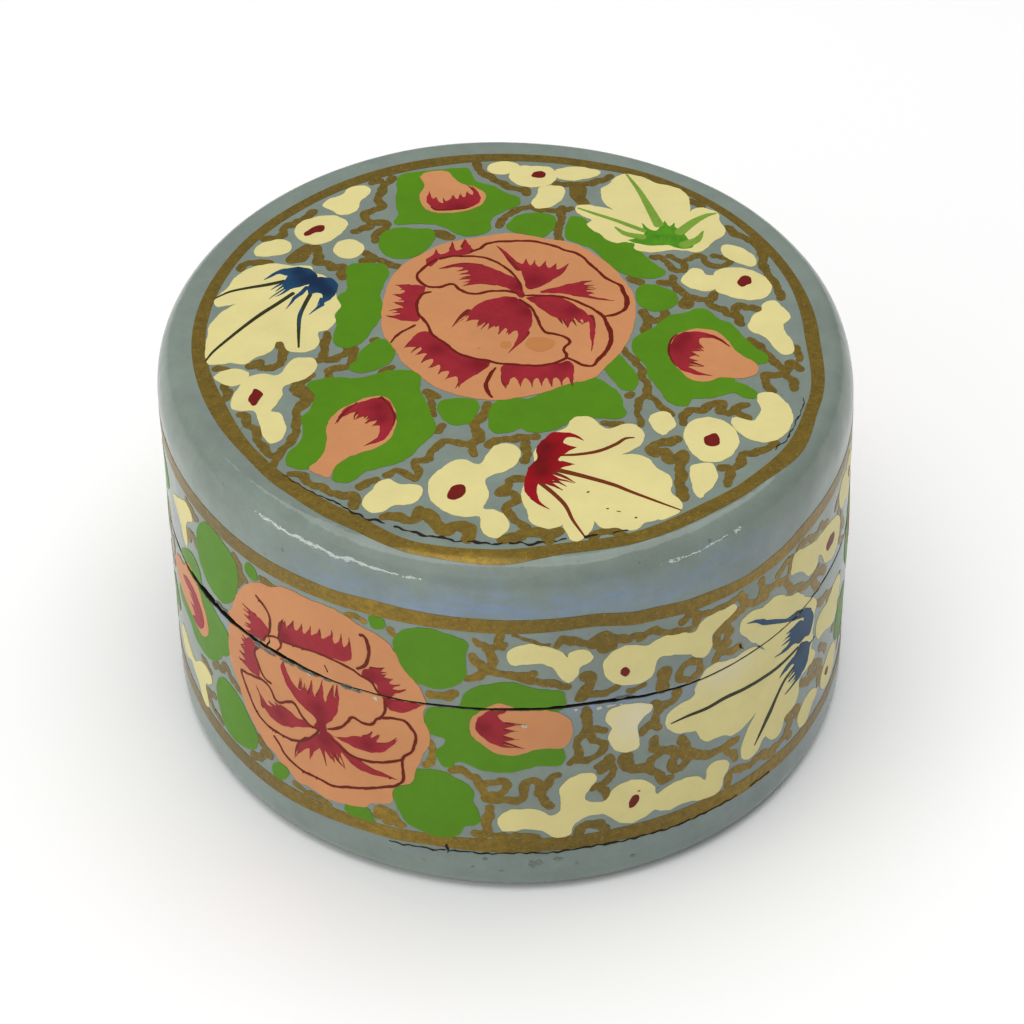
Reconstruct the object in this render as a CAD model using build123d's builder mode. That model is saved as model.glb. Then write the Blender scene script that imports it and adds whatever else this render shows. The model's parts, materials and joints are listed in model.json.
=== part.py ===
"""Round papier mache trinket box with a lift-off lid.

A wound paper tube is cut into a base and a lid. Each half is closed by a glued paper
disc and covered with a chalk ground that carries the paint and varnish. A paper collar
glued inside the base stands above its rim and locates the lid.
Millimetres, +Z up, origin at the centre of the underside.
"""

import os

from build123d import *

os.makedirs("parts", exist_ok=True)

# Whole box
outer_diameter = 76.0
overall_height = 46.0
parting_height = 26.4  # the base's rim, where the lid rests

# Wound paper core and the ground laid over it
coat_thickness = 0.7
wall_thickness = 4.7
floor_thickness = 3.4
top_thickness = 3.4

# Outside edges
shoulder_reach = 2.6  # how far the lid's rounded shoulder comes in from the side
shoulder_drop = 5.0  # how far it comes down the side
foot_round = 2.2
rim_round = 0.35  # where the ground rolls into the cut between the halves

# Collar
collar_thickness = 1.8
collar_depth = 9.0  # glued length below the base's rim
collar_rise = 6.0  # length that stands up into the lid
collar_lead = 0.5
lid_clearance = 0.3  # radial gap between the collar and the lid

outer_radius = outer_diameter / 2
core_radius = outer_radius - coat_thickness
bore_radius = core_radius - wall_thickness
core_top = overall_height - coat_thickness
collar_inner_radius = bore_radius - collar_thickness
collar_lid_radius = bore_radius - lid_clearance

profile_plane = Plane.XZ


def lid_outline(radius, top):
    """Draw a lid's outside from its rim up to the edge of its flat top."""
    Line((radius, parting_height), (radius, top - shoulder_drop))
    EllipticalCenterArc(
        (radius - shoulder_reach, top - shoulder_drop),
        shoulder_reach,
        shoulder_drop,
        start_angle=0,
        arc_size=90,
    )


def base_outline(radius):
    """Draw a base's outside from its underside up to its rim."""
    RadiusArc((radius - foot_round, 0), (radius, foot_round), -foot_round)
    Line((radius, foot_round), (radius, parting_height))


# ---------------------------------------------------------------- base

with BuildPart() as base_wall:
    with BuildSketch(profile_plane):
        with BuildLine():
            base_outline(core_radius)
            Polyline(
                (core_radius, parting_height),
                (bore_radius, parting_height),
                (bore_radius, 0),
                (core_radius - foot_round, 0),
            )
        make_face()
    revolve(axis=Axis.Z)
base_wall.part.label = "base_wall"
export_step(base_wall.part, "parts/base_wall.step")

with BuildPart() as base_floor:
    with BuildSketch(Plane.XY):
        Circle(bore_radius)
    extrude(amount=floor_thickness)
base_floor.part.label = "base_floor"
export_step(base_floor.part, "parts/base_floor.step")

with BuildPart() as base_collar:
    with BuildSketch(profile_plane):
        with BuildLine():
            Polyline(
                (collar_inner_radius, parting_height - collar_depth),
                (bore_radius, parting_height - collar_depth),
                (bore_radius, parting_height),
                (collar_lid_radius, parting_height),
                (collar_lid_radius, parting_height + collar_rise),
                (collar_inner_radius, parting_height + collar_rise),
                close=True,
            )
        make_face()
    revolve(axis=Axis.Z)
    collar_top_edges = base_collar.edges().group_by(Axis.Z)[-1]
    fillet(collar_top_edges, radius=collar_lead)
base_collar.part.label = "base_collar"
export_step(base_collar.part, "parts/base_collar.step")

with BuildPart() as base_ground_coat:
    with BuildSketch(profile_plane):
        with BuildLine():
            base_outline(outer_radius)
            Line((outer_radius, parting_height), (core_radius, parting_height))
            base_outline(core_radius)
            Line((core_radius - foot_round, 0), (outer_radius - foot_round, 0))
        make_face()
    revolve(axis=Axis.Z)
    base_rim_edge = base_ground_coat.edges().group_by(Axis.Z)[-1].sort_by(SortBy.RADIUS)[-1]
    fillet(base_rim_edge, radius=min(rim_round, coat_thickness / 2))
base_ground_coat.part.label = "base_ground_coat"
export_step(base_ground_coat.part, "parts/base_ground_coat.step")

# ---------------------------------------------------------------- lid

with BuildPart() as lid_wall:
    with BuildSketch(profile_plane):
        with BuildLine():
            lid_outline(core_radius, core_top)
            Polyline(
                (core_radius - shoulder_reach, core_top),
                (bore_radius, core_top),
                (bore_radius, parting_height),
                (core_radius, parting_height),
            )
        make_face()
    revolve(axis=Axis.Z)
lid_wall.part.label = "lid_wall"
export_step(lid_wall.part, "parts/lid_wall.step")

with BuildPart() as lid_top:
    with BuildSketch(Plane.XY.offset(core_top)):
        Circle(bore_radius)
    extrude(amount=-top_thickness)
lid_top.part.label = "lid_top"
export_step(lid_top.part, "parts/lid_top.step")

with BuildPart() as lid_ground_coat:
    with BuildSketch(profile_plane):
        with BuildLine():
            lid_outline(outer_radius, overall_height)
            Polyline(
                (outer_radius - shoulder_reach, overall_height),
                (0, overall_height),
                (0, core_top),
                (core_radius - shoulder_reach, core_top),
            )
            lid_outline(core_radius, core_top)
            Line((core_radius, parting_height), (outer_radius, parting_height))
        make_face()
    revolve(axis=Axis.Z)
    lid_rim_edge = lid_ground_coat.edges().group_by(Axis.Z)[0].sort_by(SortBy.RADIUS)[-1]
    fillet(lid_rim_edge, radius=min(rim_round, coat_thickness / 2))
lid_ground_coat.part.label = "lid_ground_coat"
export_step(lid_ground_coat.part, "parts/lid_ground_coat.step")
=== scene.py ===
"""Round papier mache trinket box with a lift-off lid: painted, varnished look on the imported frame.

Sizes in the drawings are millimetres. The lid's drawing is seen from above, with x to the
right and y away from the maker. The side's drawing is unrolled: s runs around the wall to
the right from the front middle, and z is the height.
"""

import json
import math
from contextlib import contextmanager

import bpy
import numpy as np
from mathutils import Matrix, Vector
from mathutils.geometry import convex_hull_2d, delaunay_2d_cdt

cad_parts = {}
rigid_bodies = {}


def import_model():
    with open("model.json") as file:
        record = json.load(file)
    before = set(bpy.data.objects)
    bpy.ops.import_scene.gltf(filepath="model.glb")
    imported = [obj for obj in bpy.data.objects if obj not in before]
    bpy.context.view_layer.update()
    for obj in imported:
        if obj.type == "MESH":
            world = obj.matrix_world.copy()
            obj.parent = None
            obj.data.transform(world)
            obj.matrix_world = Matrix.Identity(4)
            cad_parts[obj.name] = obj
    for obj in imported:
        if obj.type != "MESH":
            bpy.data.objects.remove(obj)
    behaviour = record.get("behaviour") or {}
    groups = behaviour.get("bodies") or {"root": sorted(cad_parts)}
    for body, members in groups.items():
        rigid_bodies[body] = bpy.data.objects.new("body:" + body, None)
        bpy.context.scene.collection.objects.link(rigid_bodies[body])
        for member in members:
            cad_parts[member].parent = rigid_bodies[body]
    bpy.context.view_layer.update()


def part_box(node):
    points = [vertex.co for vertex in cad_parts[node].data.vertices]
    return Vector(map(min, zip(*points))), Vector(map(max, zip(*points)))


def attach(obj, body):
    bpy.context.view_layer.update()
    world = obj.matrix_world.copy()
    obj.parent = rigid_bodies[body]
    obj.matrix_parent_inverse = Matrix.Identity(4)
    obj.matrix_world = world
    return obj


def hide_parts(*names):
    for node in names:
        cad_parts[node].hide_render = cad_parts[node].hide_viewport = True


bl_info = {
    "name": "Papier Mache Box",
    "version": (1, 0, 0),
    "blender": (4, 5, 0),
    "location": "View3D > Sidebar > Papier Box",
    "description": "Builds the hand-painted box on its packed frame",
    "category": "Object",
}

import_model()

MM = 0.001
TURN = 2 * math.pi
QUARTER = math.pi / 2

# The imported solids, in mm.
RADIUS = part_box("base_ground_coat")[1].x / MM
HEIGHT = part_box("lid_ground_coat")[1].z / MM
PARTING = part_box("base_ground_coat")[1].z / MM
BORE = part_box("base_floor")[1].x / MM
COAT = (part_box("lid_ground_coat")[1].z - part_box("lid_top")[1].z) / MM
FLOOR_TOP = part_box("base_floor")[1].z / MM
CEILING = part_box("lid_top")[0].z / MM
COLLAR_LOW, COLLAR_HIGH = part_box("base_collar")[0].z / MM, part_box("base_collar")[1].z / MM
SHOULDER_REACH, SHOULDER_DROP, FOOT_ROUND = 2.6, 5.0, 2.2
COLLAR_THICKNESS, COLLAR_LEAD, LID_CLEARANCE = 1.8, 0.5, 0.3
CORE = RADIUS - COAT
HALF_TURN = math.pi * RADIUS

# How the hand-made shells differ from them, in mm.
TOP_SUNK, CROWN, CROWN_REACH = 0.05, 0.31, 34  # the top lies lower, by CROWN more at its edge
CROWN_STARTS, CROWN_FULL = 34, 42  # heights between which that sets in
OVAL, OVAL_TURN = 0.015, 0.463  # out of round by this share, narrowest at this angle (radians)
CUT_FELT = 10  # the wavering cut draws the wall with it this far from the rim
RIM_WORN = ((0.12, 0), (0.03, 0.08), (0, 0.25), (0, 0.6))  # set back, and how far from the cut
GLUE_LINE = 0.02  # between the paper body and its ground
FILLET = 1.2  # in the corners inside

# Films of paint, in mm.
PAINT_DEPTH = 0.06  # how deep they sink into the ground
PAINT_SHY = 0.1  # how far they stop short of the cut
BAND_PROUD = 0.005  # how much the bands lie over the scrolls
PARTED_BY = 0.012  # how far touching corners are pulled apart
TREMBLE = 0.035  # of a patch's outline
BRUSH_SIDES, BAND_ROWS = 10, 5  # how finely brush marks and bands are drawn

# name, place, width, height (m) and power (W) of the soft lights, which look at LIGHTS_AIM
LIGHTS = (
    ("key_soft_light", (-0.2, -0.36, 0.6), 0.8, 0.8, 1.35),
    ("high_soft_light", (0.02, 0.06, 0.72), 0.8, 0.8, 4.85),
    ("left_window", (-0.7, -0.16, 0.2), 0.5, 0.34, 0.3),
    ("left_strip", (-0.5, -0.36, 0.05), 0.52, 0.055, 1.1),
    ("right_strip", (0.5, -0.34, 0.06), 0.26, 0.025, 0.22),
)
LIGHTS_AIM = (0, 0, 0.03)
ROOM_LIGHT = 0.25
FLOOR_SIZE, FLOOR_PALE = 4, 0.94
CAMERA_RISE, CAMERA_ROLL = math.radians(40.714), math.radians(-0.868)
CAMERA_DISTANCE, CAMERA_AIM_HEIGHT = 0.445276, 0.024
CAMERA_LENS, CAMERA_SHIFT = 140.77, (0.00432, -0.02086)

# ------------------------------------------------------------------ drawings
# A drawing is a text of points "x,y". A "!" before a point makes it the tip of a brush hair,
# or the round hollow between two, "^" makes it a narrow notch, "*w" after a point sets the
# brush width from there on, and "|" starts the next shape.

LID_SALMON = """
0.3,18.2 2.2,18 4.5,17.3 6.8,16.8 8.4,16 10.3,14.1 12,12 13.2,9.7 14.2,7.2 14.4,4.7 14.2,2.3 13.6,-0.3
12.3,-3.2 10.8,-5.2 9.2,-7.3 6.5,-8.2 4,-9.5 1.5,-10.3 -1.1,-10.8 -4.2,-10.3 -6.3,-9.4 -8,-8.2 -9.5,-6.3
-11.1,-4.4 -12,-2 -13.2,0.6 -13.4,3.5 -13.1,7 -12.3,10.4 -10.9,12.9 -9.7,14 -8.2,15.2 -6.8,16.3 -5.1,16.9
-2.2,17.6
| -9.2,29 -8.4,29.9 -6.2,30 -5.6,29 -4.8,27.8 -3.2,27 -2.3,26.2 -1.9,25.2 -2.3,23.8 -3.4,22.8 -5,22.2
-6.8,22.1 -8.3,22.6 -9,23.8 -9.3,25.2 -9,26.4 -8.7,27.5
| 20,0.7 21.4,0.9 23,0.4 24,-1 25.1,-3.4 26.7,-5 27.1,-6 26.4,-7.2 24.8,-7.7 22.9,-7.5 21.2,-8.2 19.5,-7.7
18.7,-6.5 17.7,-4.4 17.5,-2.5 18.2,-0.6
| -15.3,-10.3 -14.1,-10 -13.1,-10.05 -12.2,-11.3 -11.7,-13.4 -11.8,-15.3 -12.4,-17.2 -13.9,-18.6
-15.5,-19.3 -17,-20.2 -17.9,-21.2 -18.4,-22.4 -18.6,-23.1 -19.6,-22.7 -20.5,-22.1 -20.8,-21.4 -19.8,-20.2
-19.2,-18.4 -19.1,-16.5 -19.2,-15 -18.7,-13.4 -17.7,-12 -16.2,-11
"""

LID_GREEN = """
-11.6,29.2 -9.5,30 -4.9,30.7 -3.8,30.6 -3.4,29.2 -2.8,28 -1,27.2 0.2,26 1.8,24.9 1.9,23.8 0.6,22.7
-0.8,21.6 -1.5,20.3 -1.3,19.2 -2.1,18.2 -3.8,17.7 -5.2,18.2 -6.3,19.3 -7.6,20 -10,20.2 -12,20.3 -11.6,22
-11.9,24 -11.8,26.5
| -13.2,18.8 -11.5,19.6 -9.5,19.3 -7.9,19.2 -7.5,18 -7.7,16.8 -8.4,15.5 -9.3,14.4 -10.5,13.9 -12,14
-13.2,15 -13.7,16.5 -13.6,17.8
| 2.6,22 4.5,22.1 5.7,21.4 5.8,20 5.3,18.6 4.3,17.5 3.2,17.2 2.6,18 1.2,18.4 0.3,19.4 0.8,20.6 1.6,21.6
| 7.6,21.5 7,20 6.8,18.6 7,17.3 8.5,16.3 10,15.2 10.8,13.8 11.5,12.5 12.4,11.5 13.6,10.5 15,10 16.9,10
18,11.1 17.1,12.2 15.7,14.1 15.2,15.2 14,16.8 11,18.5 9.5,20.5 8.6,21.4
| 15.7,8.9 17.1,8.6 18.6,7.6 19.2,6.3 18.5,4.8 16.9,4 15.5,4.4 14.6,5.6 14.5,7.3 14.9,8.5
| 21.2,4.6 22.4,4.2 23.3,2.8 24.8,1.7 25.8,-0.3 26.9,-2.2 28.3,-4 27.9,-5.2 26.7,-5.3 26.4,-7 24.3,-7.7
25.5,-8.8 26.5,-9.9 26.2,-11 25,-10.8 24,-10 22.9,-10.4 21.4,-10.9 19.5,-11 19,-12 18.1,-12.1 16.9,-11.3
16,-9.1 15.1,-7.2 14.9,-5.3 14,-3.7 13.6,-1.8 14.3,-0.3 16,1 17.1,2.3 18.3,3.4 19.8,3.8
| 11.4,-3.2 12.4,-3.7 13.1,-5.1 13.9,-6.8 13.9,-8.4 13.1,-9.5 12.1,-9.1 11.2,-7.5 10.4,-5.8 10.2,-4.6
10.7,-3.4
| -1.1,-11 0.3,-10.2 2.2,-10.5 4.1,-9.4 6,-8.4 7.5,-7.2 9.4,-7.2 10.8,-8.4 12,-10.1 12.2,-12 12.5,-12.9
11.8,-13.9 9.1,-13.7 6.8,-13.9 5.8,-15 3.7,-15.9 2.2,-15.8 1.5,-15.2 0.6,-15.8 -1.1,-16.1 -1.8,-15.3
-1.9,-13.6 -1.6,-11.7
| -6.9,-10.9 -5.6,-10.5 -3.5,-10.6 -2.8,-11.5 -3.1,-12.9 -3.7,-14.3 -5.1,-14.9 -6.1,-14.6 -7.2,-12.9
-7.3,-11.6
| -21.5,-7.8 -20.5,-7 -18.4,-6.6 -16.2,-6.8 -14.6,-6.4 -12.7,-5.6 -10.5,-5.6 -9.3,-6 -9.2,-9 -8.5,-11
-7.9,-13.4 -7.4,-15 -7.9,-16.7 -9,-18.1 -9.9,-19.6 -11.2,-20.8 -13.1,-21.6 -15,-22.4 -16,-23.6 -17.2,-24
-18.3,-23.4 -18.3,-22 -19.5,-21.5 -21.2,-21.7 -22.4,-21.5 -23.4,-20.5 -23,-18.6 -22,-17.4 -21.7,-15
-22,-13.4 -21.2,-12.2 -20.8,-11 -20.6,-9.5
| -17,13 -15,13.3 -13.1,13 -12.5,11.6 -13,9.7 -13.5,7.5 -13.1,5.1 -13.5,3.5 -14.6,1.1 -15.5,-0.6
-17.2,-1.6 -18.4,-1 -18.7,0.4 -18.3,2.3 -18.5,3.7 -18,5.6 -18.3,7.3 -17.2,8.7 -17.2,10.9
| -13.6,0 -12.4,-1 -12,-2.2 -12.2,-3.7 -13,-4.7 -14.6,-5.7 -16.2,-5.9 -17,-5.1 -16.2,-3.7 -15.8,-2.2
-14.8,-1
"""

LID_PALE = """
1,30.2 1.9,31.1 3.5,31.1 5.3,30.9 6,29.9 6.1,28.8 5.4,27.6 4,27 2.4,27.1 1.2,27.9 0.7,29
| -1.7,30.3 -1.5,31.3 -0.5,31.9 1,31.9 1.9,31.1 0.8,29.7 -0.3,29.4 -1.2,29.7
| 6,30.3 7,30.8 8.5,31 10,30.6 11.1,30 10.7,29.2 9.5,28.7 8.2,28.3 7,28.4 6.1,28.9
| 4.2,27 6.5,27.2 7,26.2 6.7,24.9 5.9,23.7 4.8,23 3.6,23 3.1,23.9 3.6,25 3.9,26
| 14.2,29.6 16,28.9 17.4,27.8 19.3,27.1 20.7,25.8 21.1,23.9 ^21,22.1 21.9,23 23.3,22.7 24.3,21.8 24.4,20.3
25,18.9 24.5,17.5 23.6,16.8 22.6,15.3 21.7,14.7 20.2,15 18.6,15.1 16.9,14.7 15.2,14.9 14.5,15.5 14.6,16.3
13.6,16.6 12.4,16.5 11.4,17.2 10.7,18.2 9.6,19.3 9.3,20.1 9.9,20.7 8.9,21.5 8.1,22.5 8.2,23.4 9.1,23.7
10.8,23.3 ^12.4,22.7 11.4,23.9 11.1,25.1 11.1,26.8 11.9,27.5 12.6,28.7 13.6,29.6
| 24.3,15.3 24.5,16 25.7,16 26.9,15.3 27.9,14.1 28.2,12.7 27.6,12.1 26.4,12.6 25.2,13.4 24.4,14.4
| 23.3,10.9 24.5,11.8 26.2,11.9 27.9,11.2 29.2,9.8 29.6,8.2 29,6.7 27.6,6 25.7,6.3 24.3,7 23.3,7.9
| 22.4,7.6 21,8 19.9,8.8 19.6,9.5 20.2,10.9 21.1,11.8 21.9,11.6 22.5,10.6 23.5,10.4 23.4,8.2
| 28.8,5.7 29.8,5.9 30.4,4.9 31.2,3.6 31.2,2.5 30.4,1.5 30.6,0.1 31.2,-1.5 31.2,-3 30.6,-3.7 29.6,-3.4
28.9,-2 28.1,-0.5 26.9,0.3 26.5,1.2 26.9,2.5 27.4,3.5 28.2,4.1 28.3,5
| 28.1,-10 26.7,-10.2 26.4,-11.3 26.7,-12.4 26.4,-13.6 25.6,-14.6 24.5,-14.1 23.5,-14.1 23.5,-15.3
24.3,-16.7 25.5,-17.7 26.9,-18 28.3,-17.4 29.4,-16 30,-14.1 29.8,-12.4 29,-10.8
| 18.3,-16.5 18.8,-15 20,-14.1 21.4,-14 22.9,-14.8 23.8,-16.2 24,-17.9 23.5,-19.3 22.4,-20.6 21,-21
19.8,-20.6 18.9,-19.3 18.4,-17.9
| 18.8,-21.5 20,-21.1 21,-21.2 21.4,-22.4 21.4,-23.6 20.7,-25 20,-25.8 19.5,-26.5 18.9,-25.5 18.7,-24.1
18.6,-22.7
| 14.8,-13.9 15.5,-13.1 16.7,-13 17.4,-14.1 17.5,-15.3 16.8,-16.1 16.1,-16.7 15.4,-16 14.9,-15
| 7,-13.6 8,-13.4 8.9,-13.7 9.6,-14.8 10.6,-15.5 11.8,-14.9 13,-14.8 13.6,-15.2 14.2,-16.5 13.9,-17.9
12.9,-18.9 ^11.7,-19.6 13.1,-19.6 14.5,-20.3 15.2,-21.7 16.4,-22.8 16.8,-24.1 16.5,-25.3 17.4,-26.7
17.6,-28 16.2,-29.3 ^15,-29.6 13.8,-30 12.9,-31 11.9,-31.2 11,-30.8 9.4,-30.8 ^8.7,-29.7 8.3,-31.2
7.5,-32.4 6.5,-32.8 5.9,-31.7 ^5.5,-30.3 4.4,-30.9 3,-30.6 2.2,-29.8 1.9,-28.1 1.4,-26.5 1.5,-24.8 2,-23.1
2.7,-21.2 2.8,-18.9 3.7,-17.4 4.9,-16 6,-15.3
| -8.2,-24.8 -7.9,-23.1 -6.8,-21.7 -5.6,-20.5 -4.2,-20.3 -3,-21 -2,-19.3 -1.3,-18.1 -0.1,-17.7 1,-18.1
1.4,-19.3 1,-20.8 -0.1,-22 -1.6,-22.7 -2.3,-23.6 -1.9,-25.3 -2.2,-27 -2.5,-27.8 -1.1,-28.1 0.1,-29.8
-0.1,-31.2 -1.1,-32.3 -2,-32.1 -2.8,-30.8 -2.9,-29.1 -4.4,-29.1 -5.9,-28.6 -7.3,-27.4 -8,-26.2
| -14.8,-26.2 -14,-25 -13.4,-23.9 -12.4,-23.4 -11.1,-24.2 -9.4,-24.2 -8.7,-25 -9,-26.2 -9.9,-27.2
-11.6,-27.4 -13.1,-28.5 -14.3,-28.4 -15,-27.4
| -28.1,-6.5 -26.5,-5.7 -24.6,-6 -23.9,-4.9 -23.1,-3.4 -22,-3.1 -20.8,-3.3 -20.4,-4.4 -20.8,-5.8 -22,-7
-23.4,-7.6 -24,-8.2 -24.1,-9.6 -24.8,-11.3 -25.2,-12.1 -24.3,-12.4 -23.7,-13.9 -23.5,-15.5 -24.1,-17
-25,-17.4 -25.8,-16.5 -26.2,-15 -26.7,-12.9 -27.1,-12 -29.1,-11.8 -29.6,-10.6 -29.2,-8.9 -28.6,-7.5
| -30.9,-5.3 -29.6,-4.7 -28.1,-5.1 -27.7,-6 -28.4,-7.2 -29.6,-7.7 -30.9,-6.9 -31.5,-6
| -28.9,12 -29.8,10.7 -30.3,9.4 -31.4,7.9 -31.7,6.6 -31.2,6.1 ^-29.3,6.6 -29.8,6.1 -30.9,5.1 -31.5,4
-32.1,3 -32.3,1.1 -32.5,-1.3 -32.2,-3.7 -31.2,-3.9 -29.6,-3.7 -28.1,-4 -27.2,-3 -25.5,-2 ^-24.8,-0.3
-24.2,-0.2 -23.6,-1.8 -22.4,-2.2 -21,-1.9 -20.2,-0.8 -20.2,1.3 -19.3,1.6 -18.4,3 -18.5,4.2 -17.8,5.9
-18.3,7.3 -18.4,9.4 -19.3,10.9 -20.8,12 -21.2,13 -22.7,13.1 -23.6,13.2 -25,13.6 -26.5,13.4 -27.7,13
| -23,19.4 -22.7,20.6 -21.5,21.5 -20,22 -18.4,21.9 -17.2,20.8 -17.2,19.9 -17.9,18.7 -18.7,17.7 -20,16.9
-21.2,16.9 -22.3,17.6 -22.9,18.4
| -20,23.9 -19.3,25.1 -17.9,25.8 -17.2,27 -16,27.5 -14.9,27.1 -14.8,25.9 -15.8,24.6 -16,23.2 -17,22.2
-18.1,22.1 -19,23
| -27.5,15.8 -27.2,16.8 -26,17.6 -24.3,17.9 -23.4,17 -23.4,15.9 -24.3,15.2 -26,14.9 -27.2,15
| -18.7,15.9 -18.2,17.1 -17,17.65 -15.8,17.1 -15.25,15.9 -15.8,14.7 -17,14.15 -18.2,14.7
"""

LID_CRIMSON = """
1.9,6.6 1.9,8.3 1.3,9.9 0.3,10.7 -1.1,11.7 -2.5,12.4 -4.7,12.6 !-6.9,11.8 -4.5,12 !-5.2,11.3 !-3.9,11.4
!-4.9,10.7 !-3.7,10.6 !-4.9,9.9 !-3.6,9.7 !-4.6,8.7 -2.5,9.1 -0.6,8.7 0.8,7.9
| 2.6,8.1 2.2,9.4 1.9,11.1 1.3,12.4 0.3,13.9 !-0.6,15.7 0.1,15 1,13.5 !1.9,12.6 !2.4,13.5 !2.8,12.4
!3.4,13.1 !3.8,12.1 !4.6,13.1 !4.8,11.9 !5.8,12.5 !5.8,11.6 !7.1,12.5 6.5,11.1 5.3,9.7 3.7,8.4
| 3.9,7.7 6,8.5 7.5,9.1 !9.6,9.4 !8.8,8.9 !9.8,8.7 !8.9,8.3 !10,7.9 !9,7.7 !9.9,7.2 !9.2,6.9 !11.9,5.9
9.9,6.3 8,6.8 6,7.3 4.1,7.4
| 2.4,6.6 5.6,6.8 7,5.9 8.4,4.4 9.4,3 9.8,1.5 9.7,-0.4 !9.3,-2.8 9.2,0.5 !9.2,2.2 !8.5,1.8 !8.5,2.6
!7.95,2.1 !7.7,2.9 !6.8,1.1 !6.6,2.6 !5.8,2.7 4.9,3.5 3.7,4.9 2.7,6.1
| 1.2,6.6 2.5,5.1 3,3.4 2.9,1.8 2.5,0.6 1.8,-1 !0.3,-3 1.3,-0.5 !1.3,0.8 !0.3,0.1 !0.1,1.3 !-0.7,0.1
!-0.8,1.8 !-1.9,1 !-1.8,2.3 !-3.1,1.6 !-2.7,2.8 !-4.2,2.6 !-3.9,3.6 !-5.6,1.9 -4.5,3 -3.7,4.4 -2.8,5.6
-1.6,6.3 0.3,6.8
| !-11.6,9.1 -10.6,9.1 -8.6,8.8 -8.7,7.8 -9.4,5.9 -9.3,4 -9.4,2.9 -10.1,2.8 -11.2,3 !-12.8,3.7 !-11.3,4.2
!-12.3,4.9 !-11,5.1 !-11.9,6 !-10.9,6.3 !-11.9,7.4 !-10.8,8
| -8.5,1 -7,-0.6 -5.3,-2.7 -3,-4 -1.6,-4.4 -2.8,-6.3 -4,-7.3 !-5.1,-8.8 !-5.3,-6.9 !-6.5,-7.4 !-6.2,-5.9
!-7.4,-6.4 !-7.1,-4.9 !-8.2,-5.4 !-7.9,-3.8 !-9.1,-4.4 !-8.6,-2.8 !-9.6,-3.1 !-9.1,-1.8 !-10.8,-1.7
-10.2,-0.3 -9.5,0.7
| -0.1,-5 3.7,-5.3 6,-4.7 6.8,-4.5 7.2,-5.8 !7,-8.4 !6.4,-7.1 !5.8,-8.4 !5.2,-7.1 !4.7,-8.6 !4.2,-7.2
!3.7,-8.4 !3.2,-7.2 !2.7,-8.6 !2.1,-7.2 !1.5,-8.5 !0.8,-7 !0,-8.9 -0.5,-6.8
| -8.1,12.3 -8.5,13.4 -7.8,14.3 !-7.3,15.3 !-6.9,14.4 -6,15 !-5.6,16.6 !-5.2,15.1 -4.6,15.4 !-4.2,17
-3.6,15.7 -3.4,14.8 -4.5,14.2 -5.8,14 -7,13.7 -7.5,12.8
| !-8.2,26.1 -8.5,25 -8.2,23.6 -7.2,22.7 -5.6,22.6 -4,22.9 -2.8,23.8 -2.5,25 -2.8,26 !-3.5,27.3 !-3.4,25.4
!-4,26.2 !-4.3,25 !-4.7,25.8 !-5.1,24.7 !-5.5,25.6 !-6,24.5 -6.9,24 !-7.4,25.1 !-7.8,24.8
| !24.3,-2.2 23.3,-0.8 21.9,0.1 20.2,0.4 18.8,-0.1 17.9,-1.8 17.6,-3.7 18.2,-5.6 19.3,-6.6 20.5,-7.1
!21.7,-7.2 20.2,-6.4 !19.5,-5.7 !21.2,-5.7 !19.5,-5.1 !20.7,-4.7 !19.7,-4.1 !20.9,-3.8 !19.9,-3.3 !21.2,-3
!20.5,-2.4 !21.5,-2.6 21,-1.5 21.3,-0.8 22.4,-0.8 23.5,-1.4
| !-18.1,-14.5 -17.8,-12.9 -17,-11.7 -15.5,-10.9 -14.6,-10.5 -13.4,-10.2 -12.5,-11 -12,-12.4 -11.7,-13.6
-12.1,-15.3 -12.8,-17 -13.9,-17.8 !-14.8,-18.1 -13.9,-17.3 -13.5,-16 !-13.5,-14.9 !-14.4,-15.1 !-13.8,-14
!-15,-14.6 !-14.7,-13.3 !-16.2,-13.9 !-15.9,-12.5 !-17.4,-13.3 !-17.3,-12.7
"""

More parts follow.
